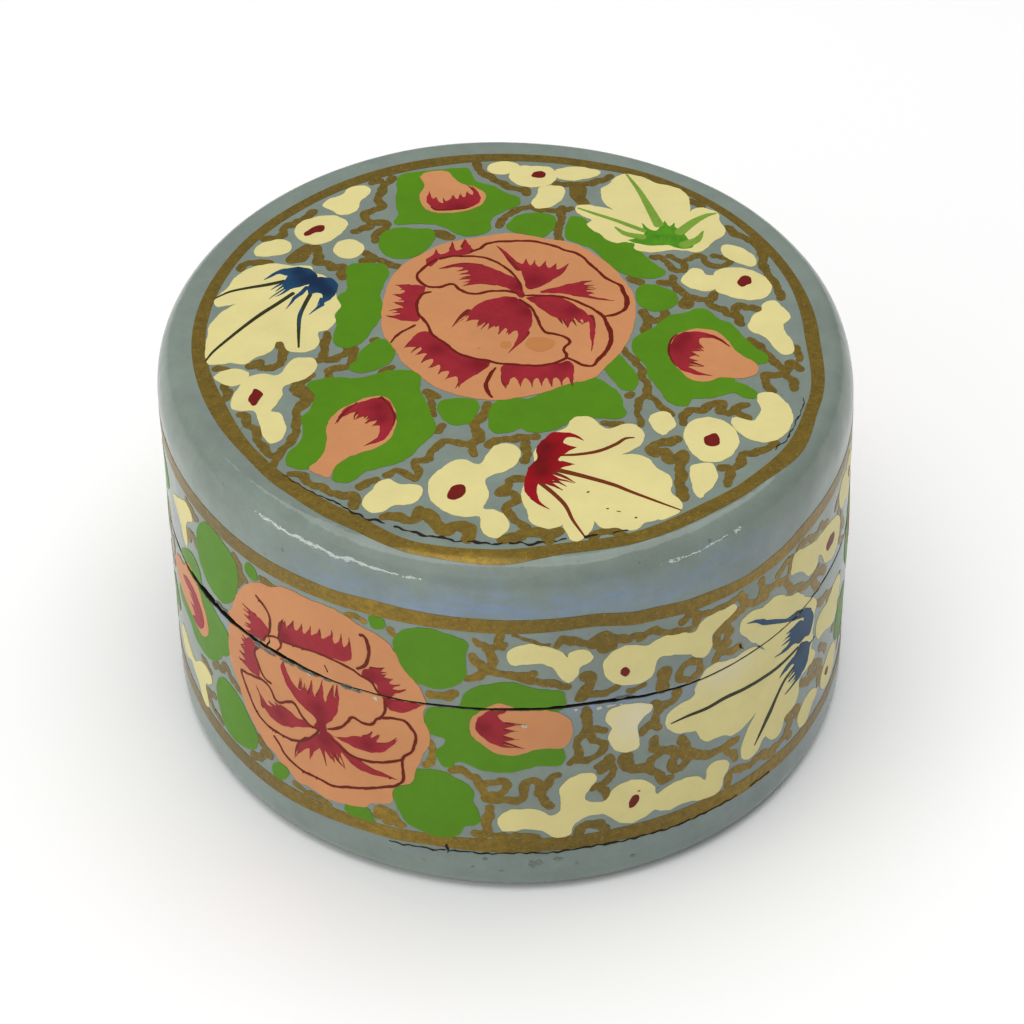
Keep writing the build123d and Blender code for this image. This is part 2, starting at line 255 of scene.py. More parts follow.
LID_LINES = """
-7.4,13.5*.34 -8.3,12.6 -9.3,11.2 -9.43,10.3 -8.9,9.3 -8.1,8.7 -7,8.6 -5.6,9.1 -4.9,8.2 -4,7.5 -3,7.3
-1.8,7.7 -0.5,7.8 0.6,7.7 1.4,7.3*.25
| -7,13.6*.3 -5.8,14 -4.2,14 -2.8,13.9 -1.5,13.4 -0.4,12.5 0.5,11.5 1.3,10.1 1.7,9 1.9,7.9*.25
| -3.6,14.8*.34 -2.6,15.4 -1.9,16.2 -0.8,16.6 0.6,16.7 2,16.8 3.5,16.7 4.6,16.3 5.8,15.8 6.8,15.1 8,14.6
8.9,13.6 9.6,12.4 10.4,11.3 11.2,10 12.4,9 12.9,8.5*.42 13.2,7.2*.55 13.5,6*.58 13.3,4.6*.5 12.6,3.7*.38
11.8,3.3 11,3.1*.25
| 2,7*.25 4.2,6.9*.34 5.6,6.8 7.1,6.3 8.6,5.3 9.9,4.2 10.8,3*.42 11.2,1.5*.52 11.5,0*.58 11.3,-1.7*.5
10.7,-3.1 9.8,-4.4*.4 9.2,-5.3*.34 8.2,-5.2 7.3,-4.5 6.6,-4
| 1.6,6.3*.25 2.6,5.2*.34 3.1,4.3 3.5,3 3.9,1.5 4.4,0.4 5.6,0 6.6,-0.6 7,-1.3 6.5,-2 6.2,-2.6 6.5,-3.4
6.4,-4
| 6.4,-4*.34 5.8,-4.5 4.5,-5 3.5,-5.2 2,-5.1 0.5,-4.9 -1,-4.7 -1.8,-4.3 -3,-4 -4.2,-3.5 -5.3,-2.8
-6.2,-1.6 -7,-0.6 -8,0.6 -8.3,2 -8.9,3.2 -9.4,4.2 -9.5,5.6 -9.3,6.6 -8.8,7.5 -8,7.8*.25
| -9.8,2.1*.3 -10.8,1.3 -11.7,0.5 -12.4,-0.8*.2
| -1.1,-5.5*.25 -1.7,-6.8*.45 -2.1,-8.2*.5 -1.9,-9.6*.42 -1.5,-10.3*.3
"""

LID_DOTS = """
3.2,29.2 3.6,29.9 4.3,30.1 4.8,29.6 4.6,28.9 3.6,28.8
| 25.8,9.2 26.2,10 26.8,10.5 27.3,10 27.4,9.1 26.8,8.7 26.3,8.4
| 20.4,-17.2 21,-16.7 21.7,-16.6 22,-17.3 21.7,-18.4 20.5,-18.3
| -5.3,-24.2 -4.5,-24.3 -4.3,-25.4 -4.9,-26.2 -6,-26.4 -6.1,-25.3
| -27,-8.3 -26.2,-9.1 -26.5,-10.2 -27.1,-11.2 -27.5,-10.6 -27.7,-9.9 -27.3,-8.8
| -22,18.7 -21.6,19.4 -20,20.3 -19.8,19.3 -20.8,18.9 -21.7,18.4
"""

LID_RED = """
!7.8,-17.2 7.2,-16.4 6,-16 4.7,-16 3.7,-17.2 3,-18.4 3.1,-20 2.2,-21.5 1.8,-23.4 1.7,-25 2.5,-26.5
3.4,-27.4 !4.1,-28 3.2,-26.7 3,-25.3 !3.2,-23.9 !5.6,-25 !4.1,-23.9 !5.7,-24.2 !4.6,-23.5 !6.8,-24
!4.6,-22.5 !6.8,-21 !5.2,-20.3 !7.2,-18.3 !5.8,-17.7 6,-17 6.8,-16.7
"""
LID_BROWN_LINES = """
3.4,-24*.5 4.6,-25.5*.5 5.8,-27.4*.45 6.5,-29.6*.35 7.6,-32*.2
| 3.7,-21.4*.7 7.2,-22.7*.6 10.8,-24.3*.5 12.4,-25.3*.42 14.8,-26.7*.32 17.4,-28.2*.16
| 5.3,-19.6*.3 7.2,-19.5*.4 9.4,-19*.45 11.3,-17.9*.45 12.2,-17.1*.35 13.1,-17*.16
| 8.1,-25.4*.22 8.2,-25.35 | 10,-27.9*.18 10.1,-27.9 | 11,-28.3*.13 11.3,-28.35
| 12.8,-29.3*.2 12.9,-29.25
"""

LID_HAIRS = """
-3.9,4.3*.8 -4.6,3.6*.5 -5.2,2.7*.25 -5.7,1.7*.06 | -2.9,3.9*.4 -3.1,3.3*.25 -3.35,2.9*.06
| -2.2,3.6*.45 -2.6,2.9*.28 -3,2*.06 | -1.4,3*.5 -1.9,2.3*.3 -2.6,1.2*.06
| -1.1,2.6*.4 -1.5,2*.25 -1.8,1.5*.06 | -0.4,2.3*.4 -0.9,1.7*.25 -1.1,1.5*.06
| 0.1,1.8*.4 -0.3,1.1*.28 -0.8,0.4*.05 | 0.7,1.6*.4 0.4,1*.28 0.1,0.35*.05
| 2.1,0.4*1.2 1.6,-0.8*.75 1.1,-1.7*.35 0.3,-3*.06 | 5.9,3*.4 6.15,2.3*.28 6.3,1.8*.06
| 6.3,3*.4 6.6,2*.25 6.85,1.1*.05 | 7.1,3.2*.5 7.5,2.3*.3 7.8,1.4*.06 | 7.8,3*.4 8.1,2.3*.28 8.5,1.7*.06
| 9.4,3*.8 9.65,1.5*.5 9.5,0*.35 9.45,-1.2*.22 9.2,-2.9*.05 | 8.5,9.3*.3 9.7,9.5*.06
| 8.6,8.6*.35 9.9,8.7*.05 | 8.6,8.2*.35 9.5,8.35*.1 10.1,8*.05 | 8.4,7.5*.4 9.8,7.4*.06
| 7.6,7.1*.6 9,6.7*.45 10.4,6.2*.3 12.1,5.85*.05 | 1.6,11.8*.9 0.7,13.4*.75 0,14.7*.4 -0.8,15.9*.06
| 2.6,11.8*.4 2.5,12.7*.28 2.4,13.6*.05 | 3,11.6*.5 3.2,12.4*.35 3.4,13.3*.06
| 3.7,11.3*.5 4.2,12.2*.35 4.6,13.2*.06 | 4.7,11.2*.5 5.3,11.9*.35 5.75,12.7*.06
| 5.8,10.7*.8 6.5,11.5*.5 7.1,12.7*.06 | -2.5,12.2*.7 -4.2,12.6*.5 -5.6,12.4*.35 -7.1,11.85*.06
| -2.8,11.6*.3 -3.7,11.7*.15 -4.4,11.9*.05 | -2.8,11.2*.4 -3.8,11.1*.2 -4.7,10.9*.05
| -3,10.4*.4 -3.9,10.4*.22 -4.6,10.2*.05 | -2.8,9.7*.4 -3.7,9.6*.22 -4.4,9.3*.05
| -1,9*.5 -2.6,9.2*.3 -3.6,9*.2 -4.4,8.75*.05 | -10.3,9.1*.3 -11.8,9.15*.1 | -10.6,8.4*.3 -11.3,8.3*.08
| -10.8,7.4*.4 -11.6,7.5*.2 -12.1,7.5*.05 | -10.9,6.6*.3 -11.5,6.5*.05
| -11,6*.4 -11.6,6.1*.2 -12.1,6.2*.05 | -11.2,5*.4 -11.9,4.9*.2 -12.6,4.7*.05 | -11.4,4.4*.3 -12.2,4.3*.05
| -11.3,3.7*.5 -12.1,3.7*.3 -12.9,3.85*.06 | -9.8,-0.2*.5 -10.4,-0.9*.3 -11,-1.8*.05
| -9,-1.3*.4 -9.8,-2*.25 -10.3,-2.7*.05 | -8.6,-1.9*.45 -9.2,-2.5*.28 -9.8,-3.1*.05
| -7.9,-2.7*.5 -8.6,-3.3*.3 -9.2,-4.5*.05 | -7.1,-3.9*.5 -7.7,-4.5*.3 -8.4,-5.4*.05
| -6.2,-4.9*.5 -6.7,-5.5*.3 -7.3,-6.5*.05 | -5.4,-5.7*.5 -5.8,-6.4*.3 -6.5,-7.3*.05
| -4.6,-6.9*.5 -4.9,-7.7*.35 -5.4,-8.9*.05 | -0.3,-6.8*.5 -0.3,-7.9*.35 -0.05,-8.9*.06
| 0.3,-7.3*.35 0.2,-8.4*.05 | 1.5,-7.2*.35 1.5,-7.9*.22 1.5,-8.6*.05
| 2.7,-7.4*.35 2.7,-8*.22 2.75,-8.7*.05 | 3.7,-7.3*.35 3.75,-8.5*.05
| 4.75,-7.4*.35 4.75,-8*.25 4.8,-8.7*.05 | 5.7,-7.3*.35 5.8,-7.9*.2 5.9,-8.5*.05
| 6.8,-7*.45 6.85,-7.8*.3 7,-8.6*.05 | -7.4,14.5*.4 -7.4,15.4*.05
| -5.7,15.4*.6 -5.6,16*.35 -5.65,16.7*.06 | -4.4,15.8*.7 -4.3,16.5*.4 -4.25,17.1*.06
| -3.8,15.4*.5 -3.65,16*.05 | -17,-12.2*.5 -17.6,-13.2*.35 -18.3,-14.5*.05
| -15.9,-12.6*.4 -16.2,-13.2*.2 -16.25,-13.9*.05 | -14.9,-13.1*.4 -15.2,-13.7*.05
| -14.5,-13.3*.4 -15,-13.9*.05 | -14.1,-13.9*.5 -14.6,-14.1*.25 -15.1,-14.5*.05
| -13.7,-14.5*.3 -14.2,-14.8*.05 | -13.4,-17*.6 -14.2,-17.6*.3 -15.1,-18.2*.05
| 22.6,-0.5*.4 23.4,-1.2*.3 24.3,-2.4*.06 | 20.2,-2.2*.5 20.9,-2.5*.25 21.4,-3.1*.05
| 19.8,-3.2*.5 20.3,-3.5*.25 20.8,-4*.05 | 19.7,-4.9*.5 20.4,-5.2*.3 21.2,-5.6*.06
| 19.6,-6.1*.5 20.6,-6.8*.35 22,-7.3*.05 | -8.3,25*.4 -8.2,25.6*.2 -8.2,26.2*.05
| -3.1,26*.4 -3.5,26.7*.25 -4,27.4*.05 | -4,25*.4 -4.05,26*.05 | -4.8,24.8*.3 -4.85,25.5*.05
| -5.5,24.6*.4 -5.7,25.4*.05 | -6.5,24.2*.3 -6.65,24.9*.05 | 6.4,-16.3*.6 7.1,-16.6*.4 7.9,-17.3*.05
| 5.8,-18.2*.4 6.9,-18.3*.05 | 5.6,-20.8*.6 6.9,-21.05*.05 | 4.8,-22.4*.5 5.8,-23*.35 6.9,-23.95*.05
| 4.5,-23*.5 5.2,-23.8*.3 6,-24.5*.05 | 4,-23.6*.5 4.7,-24.3*.35 5.6,-25.1*.05
| 2.6,-26.2*.7 3.3,-27.2*.35 4.2,-28*.05
"""
# Brown edges of the dark petals, drawn over them.
LID_EDGES = """
-18.1,-14*.12 -17.3,-12.6*.2 -16,-11*.12
| -13.7,-10.5*.1 -13.4,-10.2*.3 -12.9,-11*.14 -12.3,-12.1*.16 -11.95,-13.2*.26 -11.9,-14.1*.22
-12.1,-15*.08
| 18.7,0*.08 18.1,-0.8*.24 17.65,-2.2*.26 17.6,-3.6*.22 18,-5.2*.08
| 21.9,-0.2*.1 22.9,-0.7*.24 24,-2*.1 | -8,23.2*.1 -7.4,22.65*.22 -5,22.75*.2 -4,22.95*.1
"""
# Faint tide marks in the salmon paint.
LID_STAINS = """
2.6,-0.6 3.6,-0.4 4.8,-0.7 5.4,-1.4 4.9,-2.4 3.9,-2.9 2.8,-2.6 2.1,-1.8
| -0.2,-0.9 0.5,-1 0.6,-2 -0.1,-2.3 -0.6,-1.6 | -3,-1.9 -2.7,-2 -2.8,-2.3 -3.1,-2.2
"""
# Where the petals and leaves deepen in tone: x, y (or s, z) and reach.
LID_ROOTS = """
1,6.3,0.9 2.9,7,0.8 3.2,9.6,1.3 1.4,8.6,0.8 2.4,4.2,1.2 7.4,4.2,1.1 -2.6,-4.8,1.5 -7.4,-2,1.1 6.2,-5,1
-13.5,-11.6,1 -13.2,-13.6,0.8 18.3,-2,1.3 19.4,-0.4,0.9 -5,23.2,1.4 3.4,-20.6,1.4 4.1,-18.4,1
3.6,-22.6,0.8 -20,9.4,1.2 -20.6,11,0.9 -21.9,10.4,1.1 -19.3,8.2,0.8 -22.6,12.2,0.9
"""
SIDE_ROOTS = """
-21.4,19.4,1.2 -20.8,17.2,1.2 -21.6,21.6,1 -13.3,26.3,1 -15,29,1 -25.8,29.6,1.2 -27.2,17.6,1 -15.6,18.9,1
35.3,25.7,0.9 36,20.6,1.2 -3,24.5,1
"""
LID_BLUE = """
-24.8,12.2 -23.9,12.6 -22.8,12.85 -21.8,12.75 -21.1,12.3 -20.4,11.4 ^-20.4,10.95 -19.6,10.95 -18.8,10.7
-18.3,10 -18.15,9.1 -18.4,8 -18.9,7.1 -19.6,6.4 -20.1,5.9 -20.15,6.4 -19.85,7.2 -19.95,8 -20.6,8.2 -21.3,8
-21.5,8.9 ^-21.2,9.85 -22,9.5 -22.8,9.2 -23.6,8.9 -24.1,9.1 -24.1,9.9 -24,10.6 ^-23.7,11.35 -24.3,11.6
"""
LID_BLUE_HAIRS = """
-24,12.2*.9 -24.9,11.9*.5 -25.6,11.3*.35 -26.3,10.7*.06 | -23.9,10.2*.35 -24.8,9.6*.25 -25.5,8.9*.05
| -24,9.8*.3 -24.6,9.1*.2 -25,8.6*.05 | -23.9,9.2*.3 -24.4,8.7*.2 -25.1,8*.15 -25.7,7.3*.04
| -23.6,9*.4 -24.3,8.2*.22 -25,7.7*.05
| -21.6,9.2*.5 -22.2,8.2*.55 -22.9,7.4*.45 -23.2,6.7*.3 -23.8,5.5*.05
| -20,7.2*.3 -20.2,6.5*.2 -20.4,6*.05 | -19.9,6.1*.6 -20.5,5.4*.3 -21.3,4.4*.05
| -22.1,5.6*.2 -22.3,4*.24 -22.35,2.6*.2 -22.4,2*.08
"""
LID_DARK_LINES = """
-21.2,7.9*.5 -21.8,6.1 -22.3,4.2 -22.4,1.8*.4 -22.4,-1.3*.22
| -23.1,8.2*.5 -24.6,6.6 -26.5,4.7 -28.4,2.5*.42 -30.3,0.1*.36 -31.7,-1.8*.3 -32.4,-3.2*.2
| -24.1,10.4*.5 -26,9.8 -28.1,9.3*.4 -30,8.7*.32 -31.6,7.6*.2
"""

LID_LEAF = """
!13.8,16.9 15,16.3 16.7,15.9 18.3,16 20,15.3 21.2,15.8 20.5,17.5 19.9,18.7 19.3,19.3 !19.2,20.2 !18.7,19.5
!18.1,20.6 !17.7,19.6 16.9,18.7 !15.5,20.2 !15.7,18
"""
LID_LEAF_LINES = """
15.7,18.7*.6 14.3,19.6 12.4,20.8*.5 10,22.1*.4 8.4,23*.2
| 17.4,19.9*1.2 16.4,23.2*.9 15.4,26.3*.6 14.1,29.4*.25
| 19.8,18.4*1.2 21.4,20.3*1 22.9,21.5*.6 24,21.9*.2 | 20.2,16*1.3 21.7,17*.9 22.4,18.5*.2
| 15.5,17.5*1 13.6,18.2*.7 12.5,19.4*.2
"""

LID_SCROLLS = """
17.3,9.2*1 18.5,9.3 18.8,10.4 | 18.5,9.3*1 19.2,8 20.2,6.8 20.1,5.4*1.6
| 20.2,6.6*1 21.9,6.2 23,6.3 23.1,7.3 | 22.4,5.8*1 23,4.8 24,4.4 24.5,3.6 25.5,3 25.8,1.8
| 25.2,3.8*1 25.8,5.1 26.5,4.7 27.7,4.5 | 15.1,3.8*1 15.6,2.5 15.4,1.3 15.2,0.4
| 15.6,2.8*1 16.5,2.3 17.4,3 17.6,3.8
| 12.7,-2.6*.9 13.5,-4 14.4,-5.8 14.4,-7.2 14.9,-8.4 14.8,-9.9 14,-11 13.6,-12.8*.7 13.8,-13.9 13.9,-14.9
| 15.1,-10.3*.8 15.8,-11.5 16.4,-12.4 17.3,-13.4 | 12.8,-10.1*1 13.1,-10
| 26.7,-1*1 27.5,-2.2 28.1,-3.4 28.8,-4.6 29.4,-5.8 30.1,-6.4 30.7,-4.9 31.5,-6
| 30.1,-6.5*1 29,-7.1 27.7,-7.2 27.6,-8.4 28.1,-9.6 | 29.8,-7*1 30.7,-8.4 30.5,-9.6
| 28.8,12.8*1 29.3,10.6 30.2,8.5 30.5,6.3 | 31.5,-2.5*.9 31.7,-4.6
| -24.5,-0.6*1 -24.1,-2.2 -24.3,-3.7 -25.3,-4.7 -26.5,-4.6 -26.5,-3.8 -27.7,-4.4
| -31.4,-4.5*1 -30.2,-4.7 | -19.3,1*1 -19.6,-1.3 -19.8,-3.4 -20.4,-3.7
| -19.8,-3.6*1 -18.4,-3.4 -17.2,-2.2 -16.6,-1.3 -16.5,-3.2 -17.2,-4.9 -18.9,-5.2 -19.1,-7.4
| -14.4,-0.2*1 -14.1,-0.1 | -12.4,-5*.9 -13.9,-6.4
| -21,-6*1 -22.2,-7.5 -23,-8.4 -22,-8.9*1.8 -21.2,-9.9*1.8 -22.4,-12*1 -22.4,-14.6 -22.7,-16.7 -23.5,-18.1
-24.3,-19.6 -24.6,-21
| -30.4,-7.5*1 -30,-8.7 -30.2,-10.1
| -28.6,-12.5*1 -27.8,-12.8 -27.8,-14.3 -26.8,-14.8 -26.5,-16.7 -25.8,-17.9 -25,-19.3 -24.3,-19.6
| -22.9,-22.3*1 -21.7,-22.5 -20.8,-23.9 -19.3,-24.6 -18.3,-25.5 -17,-25.9 -15.9,-26.2*1.6 -15.9,-27.7*1
| -15.4,-24.7*1 -14.6,-23.9 -13.6,-23.6
| -12.5,-22.8*.9 -11.6,-22.1 -10.6,-22.4 -9.7,-23.3 -9.1,-22.2 -9.7,-21.2 -9.4,-20.5 -8.2,-20.3 -7.9,-19.1
-7,-17.9 -6.1,-17.3 -5.1,-17.7 -3.8,-17.9 -3.4,-19.3
| -3.8,-17.9*1.2 -2.8,-16.5 -3.4,-15 -3,-13.9 -2.2,-12.9 -2,-11.5*1
| -12.7,-29.1*1.2 -11.3,-29 -10.1,-29.6 -9.2,-29.1 -9.1,-27.9
| -8.2,-28.6*1.6 -7.3,-30 -6.3,-31.2 -5.6,-30.5 -4,-30.8 -4.1,-32.2
| -8.6,-9.4*1 -7.2,-10.2 | -8.2,-9.6*.9 -7.8,-13.2 | -7.4,-15.9*.9 -6.7,-15
| -1.9,-18*1 -1.3,-17.2 0.3,-17 1.8,-16.6 3,-16.6 | 1.8,-17*1 2,-18.9 1.9,-20.5
| 1.5,-23.1*1 0.3,-23.5 -0.1,-24.6 -0.7,-25.3 0.6,-25.5 1,-26.5 0,-27.2 0,-28.4 0.8,-29.6 1.8,-30.8
| -0.5,-32.5*1.4 0.8,-32.2 2.2,-31.4 4.1,-31.7 5,-31.4 | 3.4,-31.7*1.2 4,-32.5 | 10.2,-14.6*.9 11.8,-14.8
| 8.4,-32*1 9.9,-31.2 11.5,-31.7
| 18.3,-14.7*1 18.7,-13.1 19.5,-12.7 20.5,-12.8 21.2,-12 22.6,-11.7 22.4,-13.1 24,-12.9 24.3,-12.2
25.2,-12
| 24,-13.1*1 25.1,-14
| 17.6,-17.4*1.2 16.2,-17.8 14.9,-18.4 14.9,-19.3 16.2,-19.2 16.7,-20.5 18.1,-19.6 17.7,-21 17.7,-22.9
17.5,-24.6 17.9,-26.5
| 27.9,-18.1*1 26.7,-19 25.5,-19.6 24.3,-19.9 23.8,-21.5 22.9,-22 21.9,-21.8
| 22.9,-22*1 22.7,-22.9 22.4,-24.6
| -12.4,28.7*1 -13.1,27.7 -13.5,26.3 -13.9,24.6 -13.4,23.4 -14.8,22.7 -15.3,21.8 -14.6,20.6 -13.1,20.6
-12.8,19.6 -13.9,18.7 -14.1,17.2
| -14.6,19.9*1 -15.8,19.4 -16.5,19 | -14.6,28*.9 -13.8,28.3
| -21.7,16.3*1.1 -22.7,15.3 -23.4,14.3 -22.2,14.4 -20.8,16.3 -20.3,14.6 -20.5,13.7 -19.3,13.4 -18.5,12.5
-17.7,13 -17.7,11
| -15,15.1*1 -14.2,14.1 -15.3,13.7 | -14.2,13.9*1 -13.1,13.5 -12.2,12.7 -11.2,12.5
| -20.8,23*1 -21.7,22 -22.7,21 -24.1,20.1 -24.6,18.4 -26.5,18.2
| -25.8,13.9*1 -27.2,13.8 -28.1,13.9 -28.9,13
| 16.4,13.9*.8 17.6,13.7 18.3,12.5 19.5,11.2 20.2,12 19.5,13.2 18.3,14.1
| 20.2,13.2*.8 21.9,14.1 22.6,12.7 24.3,12.2 25.2,13.4 23.3,14.1
| 21.2,24.4*1 22.4,23.4 | 25.2,19.4*1 26.2,18 27.9,16.8 28.8,14.9 29,12.2
| 6,27.7*1 8.4,27.5 10.8,28.2 12.2,29.1 | 8.5,27.5*1.8 8.4,25.6 8.9,24.1*1.4
| -0.6,19.6*.9 0.3,21.5 1.3,22.4 2.7,23.2 4.6,22.6 6.5,22.7 7.7,23
| 6.5,23*1 6.4,20.8 6,18.9 6.2,17.2
| -2.8,31.5*1 -2.8,30.6 -1.6,29.1 -0.4,28 1,26.8 2.5,26.5 2.7,25.8
| -7.3,18.4*1.3 -5.9,17.6 | 13.8,10*1 15,9.2
"""

LID_CRACKS = """
-23.6,-22.4*.03 -22.6,-23.4*.05 -21.2,-24.7*.04 -19.8,-25.8*.06 -18.9,-26.3*.12 -18.1,-26.8*.08
-17.1,-27.5*.14 -16.2,-28.4*.12 -15.3,-28.8*.2 -14.6,-29.5*.14 -13.6,-29.6*.2 -12.7,-30*.1
| -11.6,-30.5*.1 -11,-30.8*.22 -10.1,-31.2*.12 -9.1,-31.5*.24 -8.2,-32*.16 -7.3,-32*.24 -6.3,-32.3*.14
-5.4,-32.7*.2 -4.7,-32.8*.1
| -4.1,-32.7*.12 -3,-32.95*.24 -2.2,-33*.14 -1.6,-33.3*.22 -0.6,-33*.1
| 0.1,-33.1*.12 1.2,-33*.24 2.2,-33.3*.18 3,-33*.22 3.7,-32.9*.1
| 4.6,-32.8*.08 5.8,-32.4*.12 | 7.7,-32.2*.18 8.4,-31.9*.24 9.1,-31.7*.1 | 10.4,-31.5*.06 12,-31.1*.1
| 27.6,-19.2*.04 28.2,-18.4*.1 28.8,-17.9*.06 29.4,-16.7*.11 29.8,-15.8*.06 30.5,-14.1*.1 31.2,-12.4*.07
31.4,-11*.04
"""

# The gold ring on the lid: angle, outer radius, inner radius.
LID_RING = """
0,34.2,32.6 20,34,32.8 45,33.9,32.9 60,34,32.9 75,33.6,32.3 90,33.5,32.1 105,33.5,31.9 130,33.5,32.2
150,33.8,32.5 180,34,32.5 200,33.9,31.95 215,33.8,32.3 225,34.2,32.4 240,34.8,32.7 255,35.8,34.1
268,36.1,34 280,35.1,33.5 292,35.4,33.8 305,35.3,33.6 315,35.5,34 327,36.1,34.3 340,35.2,33.8
"""

SIDE_SALMON = """
-35.1,26.8 -34.2,28.2 -33.4,30.3 -32.6,31.8 -31.6,33.2 -30.4,34.4 -28.9,35.3 -27.2,35.7 -26,36.5
-24.2,36.9 -22.5,36.8 -20.7,36.9 -18.9,36.9 -17.2,36.4 -15.7,35.7 -14.2,35.3 -12.8,34.4 -12,33.2
-11.6,32.1 -11,30.9 -10.1,29.9 -9.4,28.8 -9,27.6 -8.8,26.6 -9.1,25.9 -9.2,24.7 -8.8,23.5 -8.5,22.1
-8.8,20.6 -9.4,19.4 -9.7,18.2 -10.3,16.8 -10.4,15.6 -11.3,14.6 -12.5,14 -12.9,12.9 -12.9,11.6 -13.9,10.9
-15.4,10.4 -16,9.6 -17.2,9.1 -18.6,8.8 -19.8,8.5 -21.3,8.4 -22.5,8.7 -23.6,8.8 -25.1,8.7 -26.3,9.7
-27.5,10.1 -28.5,10.9 -29.7,11.3 -30.7,12.1 -31.6,12.9 -32.8,14.4 -33.5,15.9 -34.2,17.6 -35.1,19.4
-35.4,21.2 -35.3,22.6 -35.1,24.4 -34.9,25.6
| -46.2,25.3 -45.3,26.2 -44.6,26.9 -43.4,26.9 -42.6,26.1 -41.5,25.3 -40.9,24.1 -40.1,22.6 -39.9,21.2
-40.1,20 -40.9,19.1 -41.8,18.5 -42.9,18.7 -44.4,19.3 -45.9,19.7 -47.4,20 -48.8,20.6 -50.1,21.8 -50.3,23
-49.6,24.2 -48,25
| -3.9,22.9 -4.3,24.1 -4.3,25 -3.9,25.9 -3.1,26.8 -2.2,27.5 -1.4,27.9 -0.5,27.8 0.3,27.3 1.3,27.1 3.6,26.8
5.1,26.2 6,25.3 6.4,23.8 6.2,22.6 5.7,21.5 4.8,21.2 3.6,21.4 2.2,21.2 0.7,20.6 -0.8,20.6 -1.9,21 -3,22
| 52.2,22.4 54,20.8 56.4,20.8 58.4,22 60.8,22.6 62.6,23.6 62.4,25.2 60.6,25.8 58.4,26.4 56,27.2 53.8,26.8
52.4,25
"""

SIDE_GREEN = """
-40,36.2 -39.1,36.9 -38.2,37.3 -36.8,37.3 -35.3,36.9 -33.8,36.2 -32.9,35.3 -32.6,34.1 -32.8,32.6
-33.1,31.2 -33.7,29.7 -34.6,28.7 -35.6,27.9 -37.1,27.8 -38.5,28.2 -39.7,29.1 -40.7,30.3 -41.2,31.8
-41.2,33.2 -40.9,34.7
| -31.3,36.4 -30.6,37 -29.9,36.9 -29.4,36.3 -29.3,35.4 -29.8,34.9 -30.7,35 -31.4,35.5
| -47,26.6 -46.4,27.6 -44.8,28.8 -43.2,29.6 -41.8,29.4 -40.8,28.4 -40.7,27.2 -40.3,26.2 -38.8,25.9
-37.9,25.3 -36.8,24.7 -35.6,24 -35.1,22.9 -35.3,21.2 -35.9,20 -37.1,19.1 -37.9,17.9 -39.1,16.8 -40.9,16
-42.9,16 -44.7,16.5 -45.3,17.4 -46.8,17.9 -48.6,18.3 -49.4,19.4 -48.8,20.6 -47,20.6 -44.5,20.5 -43,21.5
-43,24 -45,25.6
| -37.1,15.8 -35.3,15.6 -34.1,15 -33.1,14.1 -32.4,13.1 -31.5,12.2 -31.2,10.9 -31.6,9.4 -32.6,8.4 -34.1,7.8
-35.9,7.4 -37.6,7.8 -38.4,8.8 -39.1,10.6 -39.3,12.4 -39,13.8 -38.2,15.1
| -28.9,7.4 -29,8.4 -28.4,9.4 -27.2,9.9 -26.4,9.4 -26.5,8.5 -27.2,7.6 -28.1,7.1
| -18.9,7.9 -18.8,8.5 -18.1,9 -16.9,9.4 -15.7,9.3 -15.4,8.2 -15.1,7.6 -16.6,7.4 -18.1,7.4
| -14.8,37.5 -13.9,37.8 -13.1,37.5 -12.9,36.8 -13.4,36.2 -14.2,35.9 -14.8,36.5
| -12.2,35 -11.6,36.2 -10.8,36.9 -9.6,37.4 -8.1,37.6 -6.6,37.2 -5.2,36.8 -4.4,36.3 -4.3,35.3 -4.6,34.1
-4.5,32.6 -4.6,31.5 -5.2,30.4 -6.4,29.6 -7.5,29.2 -9,29.4 -10.2,29.9 -11.2,30.9 -11.9,32.4 -12.2,33.7
| -10.6,16.6 -9.9,17.2 -8.4,17.5 -6.9,17.4 -6.1,16.8 -4.6,15.9 -4,14.7 -4.1,13.5 -3.6,12.1 -3.4,10.6
-4.1,9.9 -5.2,9.6 -5.5,8.5 -6.6,7.8 -8.1,7.6 -9.9,8.1 -11.4,8.8 -12.2,10.3 -12.8,12.1 -12.9,13.2
-12.2,14.1 -11.1,14.7 -10.5,15.6
| 5.6,27.1 5.6,28.5 5.3,29.3 4.2,29.6 2.8,29.9 1.6,30.3 0.7,30.8 -0.8,30.9 -1.9,30.6 -3.1,30.3 -4.1,29.7
-4.9,28.8 -5.2,27.6 -5.8,26.8 -7.5,26.7 -8.7,26.2 -9.1,25 -9,23.5 -8.4,22.6 -6.9,22.2 -7.2,21.2 -8,20.3
-7.8,19.1 -7.1,18.1 -6.4,18.1 -5.9,19 -4.9,19.1 -3.7,18.4 -1.9,18 -0.2,18 1.3,18.4 2.5,18.8 3.6,18.8
4.8,18.6 5.4,19.1 5.6,20.3 5.1,21.3 3.6,22 0,22.2 -1,24 -0.5,26 1.5,26.3 4,26.2
| 49.6,23.6 50.8,27 54,29.2 58,29.4 61.6,28 63.8,25.4 63,22.4 60.6,19.6 56.6,18.6 52.6,19.2 50.2,21
| 46.4,13.4 48.2,11.4 51.4,11.6 53.2,13.6 52.6,16.2 50.2,17.4 47.4,16.4
| 61.6,33.2 63.2,31 66,30.6 68,32.4 67.2,34.8 64.4,35.6 62.4,34.8
| 64.4,16.2 65.6,14.2 67.8,14 68.8,15.8 67.8,17.8 65.6,18
"""

